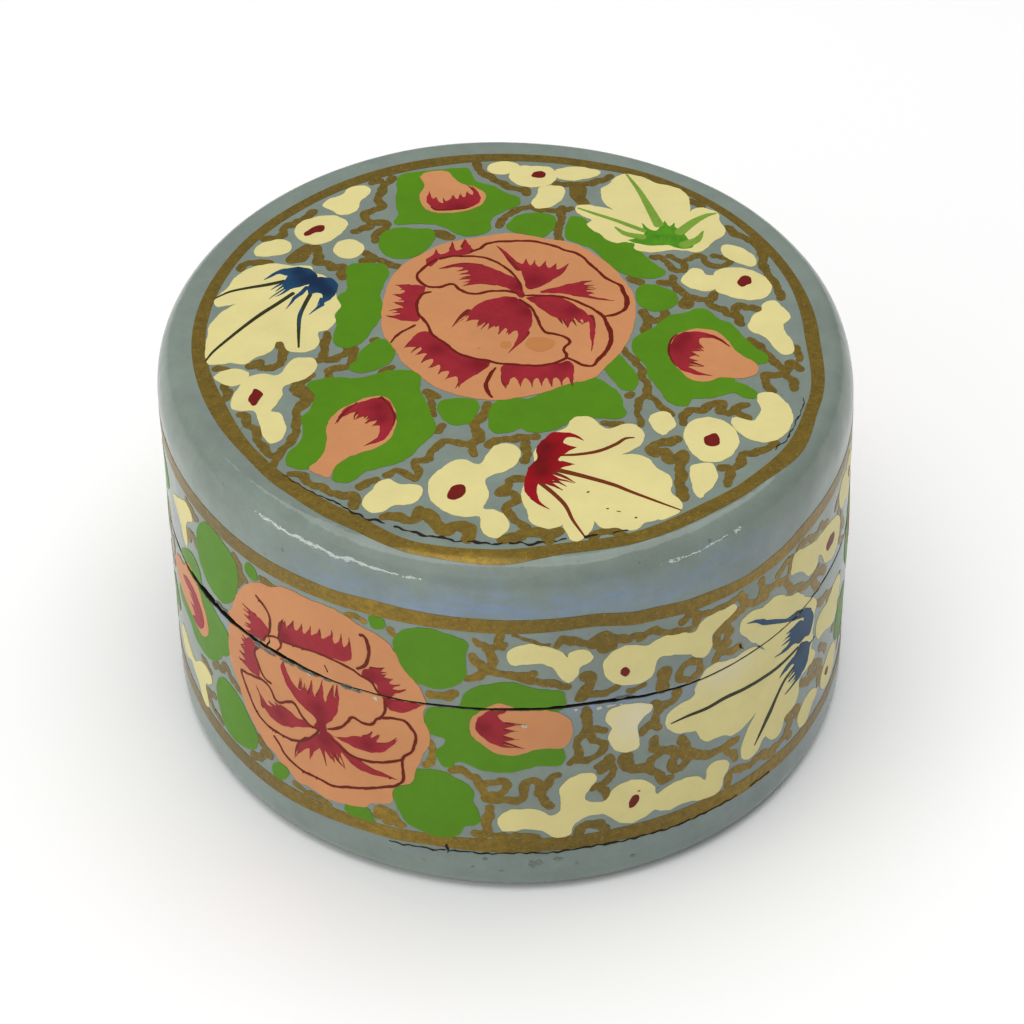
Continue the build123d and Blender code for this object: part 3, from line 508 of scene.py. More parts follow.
SIDE_PALE = """
-43.8,36.2 -42.6,35.9 -42,35.1 -42.5,34.4 -43.5,33.7 -44.1,32.6 -44.1,31.5 -44,30.3 -44.4,29.4 -45.3,29.7
-45.9,30.9 -46.8,32.1 -48.2,32.9 -48.5,33.7 -47.1,34.4 -45.6,35.3
| -41.5,14 -40.4,13.4 -40.4,12.5 -41.2,11.6 -42.1,11 -42.4,10 -42.1,8.8 -42,7.6 -42.9,7 -44,7.4 -44.6,8.5
-45.6,9.4 -47.1,10.3 -48.6,9.4 -50.2,9.2 -51.3,10.4 -51.3,12 -50.2,13.2 -48.6,13.2 -47.2,12.2 -45.6,11.6
-44.4,12.5 -43.2,13.5
| -0.3,34.4 -0.2,35.3 0.6,35.9 1.9,36.3 3.2,36 4.2,35.6 5.1,35.1 5.6,34.4 ^5.8,34.1 6.1,34.7 6.9,35
7.8,34.8 8.4,34.1 8.4,33.4 7.8,32.9 7.1,32.5 6.9,31.5 6.4,30.7 5.9,30.5 5.3,31 4.8,31.9 4.2,32.9 3.4,33.4
2.5,33.5 1.3,33.4 0.1,33.4
| 9.5,32.4 9.8,33.2 10.6,34 11.8,34.4 13,34.2 14,33.7 14.9,33.9 16.1,34.3 17.1,34 18.3,33.8 19,33.5
19.8,33.3 20.1,34 20.9,34.5 22.1,34.7 23.3,34.6 24.5,34.6 25,34.1 24.8,33.5 24,33.1 23,32.6 22.1,32
21.8,31.2 21.9,30.3 21.5,29.4 20.8,29.1 19.9,29.6 19.2,30.3 18,30.9 16.8,31.3 15.6,31.5 15.2,30.9
15.1,29.9 14.6,29 13.4,28.6 12.1,28.8 10.9,29.3 10.1,30.1 9.6,31.2
| 10.2,25.6 11.2,26 12.7,25.9 14,25.5 14.9,24.9 14.8,24.1 14,23.5 13.4,22.6 13.4,21.2 13.6,20 13.4,19.1
12.3,18.9 11.1,19.4 10.4,20.6 10.1,21.6 10.5,22.9 10,23.8 9.8,24.7
| -1.4,9.7 -1.6,10.7 -1.1,11.8 -0.2,12.4 1,12.5 2.5,12.4 3.4,11.8 4.1,11.3 4.8,11.6 5.1,12.6 5,14.1 5,15.3
5.6,16.2 6.6,16.9 7.8,17.1 8.6,16.8 8.9,15.9 8.4,15 7.8,14.1 7.7,13.2 8.4,12.6 9.5,12.4 10.1,12.7
10.4,13.5 11.1,14.2 12.3,14.6 13.6,14.4 14.8,13.5 15.4,12.5 15.7,11.4 16.4,11.8 17.7,12.2 19.2,12.2
20.4,11.8 21.1,11.2 21.6,10.7 21.7,11.8 22.1,12.4 23,12.6 24,12.2 24.7,11.5 24.7,10.4 24,9.6 23.9,8.5
23.3,7.8 21.8,7.8 20.6,8.1 19.6,8.5 18.3,8.6 17.1,8.4 16.1,8.8 15.4,9.2 14.5,8.7 13,8.2 11.8,8.5 10.8,9.3
10.2,10.1 9.5,10.5 8.1,10.6 6.9,10 6.3,9.1 6,8.1 5.1,7.9 4.1,8.1 3.6,8.8 2.5,9.3 1.3,9.5 -0.2,9.2 -1.1,9.3
| 25.6,31.2 26.2,31.7 27.1,31.9 28.3,31.6 ^28.9,31.3 29.6,31.5 30.9,31.6 32,31 33,30.1 33.9,29.5 34.8,29.3
35.6,28.5 36.2,27.9 36.8,27.1 37.8,26.3 38.6,25.6 39.4,24.7 39.5,24 39.1,23 39,21.6 38.8,20.4 39,19.2
38.6,18.2 39.4,17.3 39.8,16.6 39.2,16 37.8,15.9 36.3,15.7 36.1,14.7 36.1,13.5 35.4,12.4 34.2,12.1
33.5,11.9 33.2,10.6 32.3,9.9 31.3,10.3 30.6,11 30.3,11.6 29.7,11.3 29.1,10.4 28.1,9.9 26.9,10.4 26.4,11.8
26.8,13.4 27.4,14.7 28.3,16 ^28.7,16.6 27.2,15.6 25.6,15.1 24.6,15.4 23.9,15.9 23,16.1 21.8,16.2 21.1,16.8
20.5,17.9 20.2,18.6 19.2,18.9 17.9,19.4 17,20.3 16.5,21.5 16.7,22.6 17.6,23.4 18.7,23.7 19.8,24 19.9,25
20.5,26.2 21.2,27.1 22.4,27.4 23.6,27 25.1,26.6 26.8,26.7 28,26.3 28.9,25.4 ^29.6,24.8 28.6,26.2 27.4,27.4
26.4,28.8 25.6,29.9
| 39.7,20.6 40.7,21.6 42.5,21.6 44.2,22.4 46,22.6 47.2,21.8 47.5,20 47,18.2 46.3,16.8 45.1,16.5 43.6,17.1
41.9,17.9 40.6,18 39.9,18.8
| 33.9,35.3 34.8,35.3 36,34.7 37.2,34.3 38.4,33.8 39.8,33.7 41.3,33.5 42.8,33.1 44.2,32.6 45.4,31.9
46.3,30.6 46.3,29.4 45.6,28.2 44.2,27.4 42.5,27.8 41.3,28.5 40.7,29.4 40.1,30.6 39.4,31 39.1,29.9
38.1,29.6 37,30 36.3,30.9 35.4,31.9 34.1,32.5 33.4,32.9 33.5,34.1
| 45.6,34.4 47,35.6 48.8,35.4 50,34.6 50.3,33 49,31.8 47.3,31.3 46.2,32.3
| 37.8,11.3 38.9,11.5 40.1,11 40.9,10.1 40.7,9.3 39.8,8.8 39.2,7.9 38.4,7.2 37.3,7.4 36.6,8.2 36.3,9.4
36.7,10.4
| 42.2,11.5 43.4,12.5 44.8,13.1 46.3,12.6 47.2,11.5 47.3,10 46.6,8.5 45.1,7.8 43.6,7.9 42.5,8.8 41.9,10.1
| 48.6,31.6 50.4,30.6 52.4,31.2 54,32.6 56.4,31.8 58.2,33 57.4,34.8 54.8,35 53.2,34.4 51.6,36 49.4,35.6
48.2,33.8
| 56.2,14.6 57.6,12.6 60,12.2 61.8,13.4 61.6,15.4 59.8,16.8 57.6,16.6
| 55.2,11.6 54.2,9.8 55.8,8.8 57.4,9.8 57,11.4
"""

SIDE_CRIMSON = """
!-32,30.4 -31,30.3 -30.1,30.1 -28.9,29.9 -27.9,29 -28.2,28.2 -28.9,27.2 -29.7,26.8 -30.7,26.7 !-31.8,26.8
!-30.9,27.5 !-31.9,27.9 !-30.8,28.4 !-31.9,29 !-30.9,29.3 !-32,29.7 !-31,30
| -30.7,25.9 -29.7,25.6 -30.1,25 -30.7,24.4 -30.3,23.5 -30,22.4 -30.1,21.2 -31.3,21 -32.2,21.2 !-33.4,21.6
!-32.3,22.1 !-33.3,22.8 !-32.2,22.9 !-32.9,24 !-32.1,24.2 !-32.7,25.1 !-31.9,25.3 -31.6,25.9
| !-26.4,27.4 -26.6,28.8 -26.4,30.3 -25.9,31.4 !-25.5,32 !-25.2,31 !-24.2,32.6 !-24.1,31.4 !-23.2,32.6
!-23,31.5 !-22,32.9 !-21.9,31.8 !-20.8,33.3 !-20.6,32 !-19.2,33.5 !-19,32 !-18.1,33.7 !-17.9,32
!-17.2,33.4 -17.1,31.8 -17.1,30.6 -17.9,30 -19.5,29.7 -21.3,29.6 -23.4,29.3 -25,28.9 -25.9,28.7
| -16,29.1 -15.4,29.9 -14.4,30.3 !-13.3,30.7 !-13.8,29.8 !-12.9,30.1 !-13.4,29.3 !-12.3,29.5 !-12.8,28.7
!-11.6,28.8 !-12.5,28 !-11,28.2 -12.2,27.4 -12.8,26.7 -13.6,26.5 -14.1,27.4 -14.4,28.1 -15.4,28.4
| -13.6,26.6 -11,26.7 !-9.1,26.7 -10.4,25.6 -11.6,24.9 -12.8,24.9 -13.3,25.4 -13.5,26
| !-26.1,26.1 -25.7,24.7 -25,23.5 !-23.9,22.9 !-23.7,24.8 !-23.4,23.1 !-23.1,24.1 !-22.8,22.9 !-22.3,25.1
!-21.9,23 !-20.9,26 !-20.7,22.8 -20.3,23.8 !-19.4,25.9 !-19.4,24.1 !-19,26 -18.9,24.4 -19.1,22.4
-19.8,20.7 -20.6,19.7 -20.6,18.6 -21.3,18.2 -22.2,18.6 -21.9,19.7 -22.8,20.3 -24.2,21 -25.6,22.4
-26.3,23.8 -26.5,25
| -22.6,18.3 -23.4,18.7 -24.5,18.5 -26,19 -27.2,18.8 -27.8,18.4 !-28.9,18.3 !-28.3,17.8 !-29.3,17.6
!-28.8,17.3 !-30.7,19.1 -30.1,17.9 -29.7,16.9 -28.8,16.2 -27.5,15.9 -26,16.3 -24.5,17.2 -23.4,17.8
| -21.3,18.5 -20.5,18.6 -19.2,17.8 -18.4,17.2 -17.2,16.5 -15.4,15.7 -13.9,15.5 !-12.5,15 -13.9,14.9
-15.7,14.8 -17.2,15.1 -18.2,15.9 !-18.9,16.4 !-18.4,14.1 !-19.1,15.7 !-19.1,14.6 !-19.6,16 !-19.8,14.4
!-20.3,15.7 !-20.2,14.8 !-21,15.6 !-20.8,13.4 !-21.5,15.7 -22.2,15 !-23.1,13.2 !-23,14.8 -23.9,14.1
!-25.1,12.4 -24.8,13.7 -24.2,15 -23.4,16.2 -22.3,17.1 -21.6,17.8
| !-19.9,18.4 -18.6,18.7 -17.5,19.4 -16,20 !-14.9,21 !-15.2,20 !-14.1,20.9 !-14.5,19.6 -13.4,20 !-12,21
-12.8,19.7 -13.9,18.5 -15.1,18 -16.9,17.9 -18.6,18.2
| -46.8,23.2 -45.9,24 -44.4,24.3 -42.9,24 -41.8,23.2 -41,21.8 -41.2,20.3 -42.1,19.3 -43.5,19.1 !-44.5,19.4
!-43.5,20.2 !-44.7,21.2 !-43.5,21.6 !-44.9,22.5 !-43.9,22.8
| -3.5,25.6 -3,26.2 -2.2,26.9 -1.1,27.3 !0.3,27.3 -0.8,26.6 !-1.4,26.2 !-0.5,25.1 !0.9,24.9 !-0.8,24.3
!0.7,24.1 !-0.9,23.3 !0.9,22.9 !-1,22.3 !1.2,21.6 -1.1,21.8 -2.2,22.4 -3.1,23.2 -3.7,24.4
| 52.9,23 53.8,21.8 55.2,21.4 56.2,21.8 !57.6,22.6 !55.9,22.7 !57.2,23.6 !55.7,23.7 !57,24.6 !55.8,24.8
!57.4,25.8 56,26.3 54.6,26.2 53.4,25.2
"""

SIDE_LINES = """
-29.7,33*.34 -28.8,32.5 -28.1,31.9 -27.7,30.9 -27.8,29.9 -27.9,29
| -28.9,27.2*.3 -28.4,28.1 -27.2,28.7 -25.7,28.8 -23.6,29.2 -21.3,29.6 -18.9,29.5 -17.2,29.2 -16.1,28.7
-14.8,28.2 -14.4,27.4 -14,26.8
| -15.9,34.5*.4 -15.6,34.6 -15.2,34.1 -15,32.9 -15.1,31.5 -15.7,30.1 -16.4,29.6
| -25.9,31.6*.25 -26.6,29 -26.3,28 -26.9,26.9
| -29.7,25.9*.3 -30.3,25.1 -30.5,24.3 -30.1,23.2 -29.7,22.2 -29.1,21.5 -28.2,21.4
| -30,21*.34 -28.9,20.9 -28.2,20.3 -27.8,19.4 -27.2,19.2 -26,20 -25.1,20.5 -24.5,20.1 -23.8,19.1
-22.8,18.4 -21.9,18.4
| -30,20.9*.34 -31,20.6 -32.2,20.2 -33.2,19.9 -33.1,19.1 -32.5,17.8 -31.7,16.2 -30.7,15 -29.2,14.4
-27.5,14.4 -25.7,14.6 -24.2,15.3 -23.1,16.3 -22,17.6 -21.6,18.4*.25
| -28.3,13.4*.34 -27.6,12.8 -26.9,11.8 -25.7,11.2 -24.2,10.8 -22.2,10.9 -20.1,10.8 -18.4,11.5 -16,12.4
-13.9,13.4 -12.5,14.1 -11.7,15 -11.6,16.5 -11.7,17.9 -11.4,18.7 -10.7,19.4 -10.3,20.4 -10.1,22.1
-10.5,22.9 -11.3,23.8 -12.5,23.8 -13.6,23.5 -14.4,23.1 -14.8,22.4 -15.3,21.9 -16.3,21.9 -17.3,22.2
-17.8,21.5 -18.6,20.3 -19.5,19.6 -20.4,19.1*.25
| -20,17.9*.25 -18.9,17.2*.34 -17.8,16.6 -16,16.5 -14.2,16.9 -12.8,17.5 -11.7,18.1
| -13.4,25.9*.34 -13.4,25 -13.6,24 -14.2,23.2
"""

SIDE_HAIRS = """
-30,30.1*.4 -31,30.1*.25 -32.1,30.4*.06 | -30.5,29.4*.3 -31.3,29.2*.06
| -30.6,27.9*.4 -31.3,27.6*.2 -31.9,27.5*.05 | -30.9,27*.4 -31.7,26.9*.1
| -31.8,24.5*.4 -32.4,24.3*.15 -32.9,24*.05 | -32,23*.4 -32.6,22.8*.2 -33.2,22.9*.05
| -32,21.9*.5 -32.8,21.7*.25 -33.5,21.7*.05 | -31.9,25.4*.3 -32.5,25.7*.05
| -26.4,30*.5 -26.3,31*.4 -25.7,32.1*.05 | -25,31.2*.5 -24.6,31.9*.3 -24.3,32.7*.05
| -23.5,31.6*.5 -23.2,32.2*.25 -23.2,32.8*.05 | -22.3,31.8*.5 -22.1,32.4*.25 -22,33.1*.05
| -21,31.8*.4 -20.8,32.4*.25 -20.8,33.3*.05 | -19.6,32*.5 -19.4,32.6*.25 -19.3,33.8*.05
| -18.4,31.8*.4 -18.3,32.6*.25 -18.15,33.8*.05 | -17.2,31.8*.3 -17.2,32.6*.22 -17.25,33.6*.06
| -14.8,30.2*.5 -14,30.4*.3 -13.3,30.8*.05 | -14.2,29.8*.4 -13.6,30*.2 -13.1,30.2*.05
| -13.7,29.2*.4 -13.1,29.3*.2 -12.6,29.4*.05 | -13.3,28.4*.5 -12.5,28.5*.25 -11.6,28.9*.05
| -12.8,27.8*.5 -11.9,27.9*.28 -11,28.4*.05 | -12.9,27.1*.4 -12.3,27.2*.05
| -11,26.3*.5 -10,26.5*.25 -9.2,26.6*.06 | -24,23.2*.4 -23.9,24*.22 -23.85,24.7*.05
| -23.4,23*.3 -23.3,24.2*.05 | -22.8,23*.5 -22.5,24*.3 -22.3,25.2*.05
| -21.6,23.2*.6 -21.2,24.4*.35 -20.9,25.9*.06 | -20.2,23.6*.5 -19.9,24.6*.35 -19.5,25.9*.05
| -19.2,24.4*.4 -19.1,25.2*.3 -19.05,26.1*.08 | -29.9,16.9*.6 -30.1,18*.3 -30.7,19.4*.05
| -29,17.3*.4 -29.5,17.7*.05 | -28.3,18.1*.4 -28.8,18.4*.05 | -27.4,18.6*.4 -27.9,18.8*.05
| -25.9,18.8*.3 -27,19*.05 | -23.4,16*.7 -24.4,14.8*.6 -25,13.6*.3 -25.3,12.1*.05
| -22.7,15.6*.5 -22.9,14.6*.3 -23.1,13.3*.05 | -21.4,15.8*.5 -21.1,14.8*.3 -20.9,13.5*.05
| -20.6,15.8*.5 -20.3,15.2*.3 -19.9,14.7*.05 | -19.8,15.9*.5 -19.3,15*.3 -18.5,14.3*.05
| -17,16*.9 -15.2,15.3*.8 -13.8,15.2*.5 -12.4,15*.06 | -16,19.9*.5 -15.4,20.4*.3 -15,21.1*.05
| -15.1,19.8*.4 -14.7,20.3*.25 -14.3,20.9*.05 | -14.3,19.4*.6 -13.2,19.9*.4 -12.2,21.1*.05
| -0.6,25.15*.4 0.2,25.1*.2 1.2,24.95*.05 | -0.7,24.2*.4 0.3,24.1*.05 | -0.8,23.2*.4 0.2,23*.05
| -0.8,22.4*.4 0.2,22*.2 1.3,21.5*.05
"""
SIDE_BLUE_HAIRS = """
26.6,30.6*.08 28,30*.4 29.2,29*.62 31,27.9*.6 33,26.6*.45 34.5,25.9*.5
| 34.6,24.4*.4 33.8,24.4*.2 33.2,24.6*.05 | 34.2,23.9*.3 33,23.95*.05
| 34.4,23.2*.5 33.4,23.3*.3 32.4,23.4*.05 | 34.6,22.3*.5 33.3,22.2*.35 31.2,22.6*.05
| 34.6,19.8*.5 33.4,19.6*.35 32.2,19*.05 | 35,17.2*.4 33.8,17.1*.05 | 36,16.5*.4 35,16*.3 33.3,15.6*.05
"""
SIDE_DOTS = """
11.3,30.9 11.6,31.4 12,31.4 12.3,30.7 11.9,30.1 11.5,30.4
| 12.5,11.5 12.9,12.2 13.4,12.2 13.6,11.6 13.1,10.6 12.5,10.6
| 41.6,30.9 43.6,31 44,30 43.1,29.6 41.7,29.9 | 43.2,10.5 43.8,11 44.4,10.5 43.9,9.8
| 13.4,12.75 13.6,12.85 13.7,12.7 13.5,12.6 | 50.6,33 51.2,32.8 51.6,33.4 51.3,34.1 50.7,33.9
| 58.8,14.2 59.4,13.9 59.9,14.4 59.6,15.2 59,15
"""

SIDE_BLUE = """
!26.6,30.6 27.8,30.3 28.9,29.7 30.4,28.5 31.9,27.5 33.4,26.7 34.8,26.5 36,26 37.2,25.3 38.2,24.3 38.8,22.9
38.6,21.5 37.9,20.8 36.9,21.2 35.7,21.2 34.9,21.9 !31.7,22.4 !33.9,22.9 !32.7,23.3 !34,23.5 !32.6,23.9
!34,24.2 !33.2,24.5 34.4,24.6 35.8,24.5 !36.6,24 35.9,24.8 35,25.2 33.4,26.1 31.9,27.1 30.4,28 28.9,29.3
27.8,30.1
| 36,20.9 37.2,20.4 38,19.7 38.3,19.4 !39.5,19.3 38.3,18.9 38.1,17.9 37.6,16.8 36.3,16 !33.4,15.5
!35.6,16.3 !34.2,16.5 !35.4,16.9 !33.9,16.9 !35.1,17.5 !33.8,17.6 !34.8,18.2 34.7,19.1 !32.2,18.8
33.1,19.4 34.8,20
"""
SIDE_DARK_LINES = """
17.2,21.2*.16 19.2,21.4*.4 21.5,21.3*.5 23.9,21.5*.55 26.2,21.2*.5 29.2,20.9*.5 32.1,20.7*.5 35.4,20.8*.4
| 28.5,11.5*.16 29.4,12.8*.45 30.4,14.3*.7 30.9,15*.7 31.9,16.5*.5 33.1,17.8*.5 34.9,18.5*.4
"""

SIDE_SCROLLS = """
-43.5,36.6*1 -42,36.1 -40.8,35.9 | -43.5,31.2*1.1 -43.2,32.2 -42,32.7 -41.4,31.9
| -33.2,36.1*1 -32.4,35.8 -32.2,34.8 -32.3,33.3 -33,32.5 | -32.2,34.5*.9 -31.3,34
| -28.9,36*.9 -28,35.9 -26.8,35.9
| -39.3,16*1 -38.6,16.8 -37.7,16.6 -37,17.6 -36.4,18.1 -35.9,17.2 -35,16.7 -34,16.2
| -42.6,14.6*.9 -41.4,14.6 -40.6,14 | -42,10*1 -41,10.4 -40,10.8 | -42,9.6*1 -41,8.5 -40,8.2 -38.7,8
| -31,11.4*1.1 -30.4,10.6 -29.2,10.1 -30.2,9.5 -30.8,8.6 -31.9,8 -32.4,7.5
| -25.5,8.1*.8 -24,7.7 -22.5,7.9 -20.8,7.6 | -17.3,36.7*.8 -16.4,36.9 -15.5,36.6 | -12.6,36.4*.8 -12,35.6
| -14.9,8.6*1.2 -14.2,9.9 -13.3,9.8 -12.6,8.7 -12,8.2 | -13.9,9*1.6 -13.7,8.4
| -3.6,36.6*.8 -3.2,36.2 -2.4,35.8 -1.9,35.3 | -1,37.6*.9 -1.1,36.5 -0.9,35.7 | -1.9,35.6*.8 -0.5,36.2
| -3.8,34.3*1 -3.2,33.2 -2.6,32.6 -1.9,33.4 -1.9,34.6 -2.4,35.6
| -2.6,32.4*1 -1.4,32.2 0.2,31.8 1.4,31.8 2.3,32.1 | -2.7,32.3*1 -3.3,31.5 -4.4,31.2
| 0.5,31.7*1 1.9,31.1 3.5,30.7 4.8,30.4 5.7,29.8 | -8.4,28.3*1.1 -7,28.3 -5.8,28.8
| 0.2,37.6*.4 1.5,37 2.9,36.3 3.9,35.9 | 4.8,35.8*.8 5.4,36.5*1.2 6.6,36.2*1 8.1,35.5
| 8.4,35.4*1.2 9,36.2 9.7,36.4 10.3,35.6 10.4,34.6 | 9.5,35.8*1.6 9.6,34.8
| 9.7,36.3*1 10.8,35.8 11.8,35.2 12.8,35.4 13.6,35.1
| 13.4,34.9*.9 14.2,35.3 15,35.5 15.8,34.9 16.6,34.5 17.8,34.2 19,33.9
| 18.2,35.4*1 19,36 19.9,35.5 19.8,34.2 | 20.3,35.2*.8 22,35.1 24,35 25.5,35.3
| 7.6,31.2*1.3 8.3,30.8 8,29.7 7.4,28.4 7,27.9 | 7.9,28.6*.9 9.2,28.2 11,28.7
| 12.4,27.9*.7 13.2,27.9 13.8,28.2 | 7.7,26.3*1.1 7.9,25 7.9,23.6 | 7.9,23.4*1 9.8,22.9
| 7.9,23.2*.9 7,22.2 6.8,21 7,19.8 6,18.8
| 8.2,22.7*.9 8.5,21.6 9.4,21.3 9.6,20.2 9.1,19.4 7.8,19 6.9,19
| -8.6,21.2*.9 -8.3,20 -8.5,18.8 -9.1,17.9
| -6.3,17.7*1 -5.5,18.1 -4.7,17.5 -3.9,17 -3.3,15.8 -2.9,14.6 -2.4,13.8 -1,13.9 0.8,13.9 1.3,14.8 1.2,16.1
2.2,16.7 3,15.8 2.8,14.8 3.3,13.7 3.9,12.8
| -3,16.2*.9 -2,16.4 -0.8,16.6 -0.6,15.6 -1.1,14.8 -2,14.6 | 3.2,14.8*.9 3.7,15.9 4,16.9 4.8,17.3
| -2.4,12.6*1.1 -2.5,11.5 -2.8,10.2 -2.7,8.8 -4,8.6 | -2.6,8.7*.9 -1,8.4 0.8,8.5 2.6,8.1
| 6.9,8.3*1.2 7.3,9 8.4,9.3 9.4,8.7 9.9,8.3 | 10.3,18.7*1 10.2,17.4 9.3,16.9
| 12,18.2*1.6 12.3,16.8 12.9,16.1*1.2 14,16 14.7,15.7
| 9,17.8*.9 10,18.1 10.6,17.3 10.6,16.4 10.1,15.3 9.1,14.9 8.5,14.5
| 9.3,14.6*.9 9.9,13.5 10.1,12.8 | 17.7,25.9*1.1 17.5,24.7 16.3,24.2 15.3,24.9
| 15.8,24.1*1.1 15.4,23 15.1,22 14.2,21.7 13.9,21 | 15.2,22.2*1 15.7,21.2
| 15.4,19.8*1.1 15.2,18.4 16.2,17.6 17.5,17 18.6,16.2*1.5 19.6,15.4 20.8,14.7*1.3 22,14.1*1.1 23.8,14
25.8,14.1
| 18.5,18.3*1.1 19,17 19.4,15.6 19,14.4 17.8,14 17.4,15 18,16.2
| 24,13.9*.9 24.6,13 25.3,12.2 25.7,11.4
| 16.2,17.6*1.1 15,16.6 14.6,15.6 15.6,14.6 16.2,13.4 17.3,13
| 16.2,29*1.6 16.1,27.9 16,26.9
| 19.2,26.6*.9 18.3,27.1 17.9,28 18.3,28.9 19.3,29.2 20.3,28.7 20.5,27.6 19.9,26.8
| 26.3,33.2*1.1 24.8,32.8 23.6,32.2 22.6,31.4 22.4,30.2 23,29.6 24,29.2
| 23.4,31.8*1.1 24.1,30.8 23.7,29.9 23.2,28.9 22.5,27.9 | 23.4,28.4*1 24.4,27.9 25.6,27.8
| 25.6,34.8*1 26.4,33.6 27,33.1 28.3,32.8 29.5,32.6
| 28.5,35.4*1 28.6,34.3 29.5,33.5 31.2,33.3 32.4,32.6 33.2,31.5 33.7,30.3 34.8,30.1 36,29.2 37.3,28.6
38.4,28.7 39.6,29.4
| 28.6,34.3*.9 28.2,33 | 31,34.4*.9 32,35 33,35.4 33.5,35.1 33.2,33.6
| 24.6,8.1*1 25,9.6 26.4,9.4 27.6,8.9 28.8,9 29.8,9.3 30.8,8.6 32.2,8.5 33.8,8.8
| 29.8,9*.9 30.8,8.1 32,7.8 | 34.2,11.6*1.2 34.7,10.4 34.3,9.2 34.8,8.1 | 34.7,11.8*1.2 36,11.4 36.2,10.4
| 36.6,14.6*1.1 37.4,14.2 38.4,13.4 39.4,14.6 39.2,15.4 38.6,14.8
| 38.4,13.4*1.1 40,13.2 41.2,12.6 42,12 | 39.8,15*1 40.8,14.4 41.4,13.4 | 41,16.4*1 42,15.6 43,14.6
| 41,11.8*1 41.4,10.8 | 39.7,24*1.1 40.8,23.2 42,23.2 43,22.3 43.8,22 | 38.4,28.7*1.2 38.8,27.4 39.6,26.3
| 39.6,28.6*1.1 40.8,27.8 41.6,27.2
| 34.8,35.6*.9 36,35.6 37.2,35.2 38,34.6 39,34.5 39.6,34.9 40.6,34.3 41.6,33.9
| 44.5,33.6*1 45.6,34.2 | 46.6,28.4*1.1 47.6,29 48.4,28 | 45.4,15.4*1 46.8,14.6 48,13.8
| 47.6,17.6*1 48.2,16.4 | 45,31*.9 46.2,32.4 47,30.8 47.4,29 46.4,27.8 47.6,26.6*.8
| 58.6,31*.9 60,30.4 60.6,31.6 59.8,32.6 60.8,33.8*.8
| 65,28*.9 66.4,27 65.8,25.4 67,24.2 68.2,24.8 68,22.6*.8 | 65,21.6*.9 66.4,20.6 67.8,21.2*.8
| 47.2,22*.9 46,20.8 47.4,19.6 46.6,18.6*.8 | 54.6,17.2*.9 55.4,15.8 54.6,14.4 55.4,13.2*.8
| 62.6,18*.9 63.4,16.4 62.8,15 64,13.4 63,12 64.2,10.8*.8 | 49,9.6*.9 50.4,10.4 52,9.6 53,10.4*.8
| 59,10.4*.9 60.4,9.6 61.6,10.6 62.8,9.4*.8
"""

SIDE_CRACKS = """
-13.5,5.35*.04 -12.4,5.3*.08 -11.8,5.3*.06 -10,5.55*.1 -8.2,5.5*.08 -7.2,5.8*.16
| -7.05,6.5*.12 -6.95,5.9*.2 -7,5.4*.08
| -6.8,5.7*.1 -5,5.85*.06 -3,5.75*.11 -1,5.9*.06 2,5.9*.1 3.6,5.75*.06 5,5.8*.12 8,5.95*.13 10,5.9*.2
12,5.8*.12 15,5.8*.17 17,5.65*.1 20,5.7*.15 23,5.7*.09 26,5.6*.08
| 28,5.7*.06 31,5.5*.1 | -20.4,28.2*.08 -20.2,27.5*.12
| -27.9,29*.1 -28.1,28.4*.14 -28.05,27.4*.12 -28.4,26.7*.2 | 25.6,28.1*.14 25.9,27.6*.24 26.2,27.3*.1
"""

# Gold bands round the side: s, upper edge, lower edge. They close on themselves.
UPPER_BAND = """
-60,39.2,37.3 -45,39.3,37.3 -30,39.3,37.3 -20,39.5,37.6 -14,39.9,37.8 -6,39.7,37.8 0,39.6,37.7 8,39.6,37.9
14,38.7,36.9 20,38.1,36.3 26,37.6,36.2 31,37.9,36.2 36,38.4,36.5 45,38.3,36.5 60,38.8,37 90,39.2,37.3
115,39,37.2 140,38.6,36.8 160,39,37.1
"""
LOWER_BAND = """
-60,7,5 -45,7.1,5 -30,7.1,5 -14,7.5,5.7 -8,7.9,6.1 0,8,6 10,7.9,6 20,7.8,5.6 30,7.3,5.3 36,7,5 45,7,5
60,7.2,5.1 90,7.5,5.5 115,7.3,5.2 140,7.1,5 160,7.3,5.3
"""

# The saw cut between lid and base: s, height of the cut, how far it has worn open.
CUT = """
-59,26.3,.15 -46,26.3,.3 -42,26.3,.8 -38,26.4,1 -35,26.4,.8 -31,26.4,.45 -26,26.5,.45 -22,26.4,.25
-18,26.4,.1 -15,26.6,.1 -12,26.7,.1 -9,26.85,.12 -5,27,.17 0,27.1,.22 4,27.05,.28 8,27.1,.3 12,26.9,.35
14,26.5,.18 20,26,.1 25,25.9,.08 33,25.75,.08 45,26,.12 60,26.4,.15 80,26.7,.2 100,26.3,.16 120,26.1,.15
140,26.5,.22 160,26.6,.15
"""

# Scraped ground paint, and chalk flecks, where the varnish broke off along the cut.
BASE_CHIPS = """
-30.4,25.9 -29.2,26 -28,26.05 -27.2,26 -27.8,25.7 -29,25.75 -29.8,25.6
| -26.6,26.05 -25.6,26.15 -24.6,26.1 -24.9,25.9 -25.8,25.85
| -24.2,26.15 -23.2,26.2 -22.2,26.15 -21.4,26.2 -22,25.95 -23.2,25.98
| -20.8,26.2 -19.6,26.25 -19.8,26.1 -20.4,26.05 | -18.6,26.2 -17.4,26.3 -16.2,26.25 -17.2,26.1
"""
LID_CHIPS = """
-37.4,26.9 -36.6,27.3 -35.8,27.1 -35,27.25 -34.6,26.9 -35.6,26.85
| -31.2,26.75 -30.2,26.95 -29.2,26.85 -30,26.72 | -18.6,26.55 -17.8,26.7 -17,26.55
| 10.8,27.2 11.8,27.3 12.6,27.05 11.6,27.02
"""
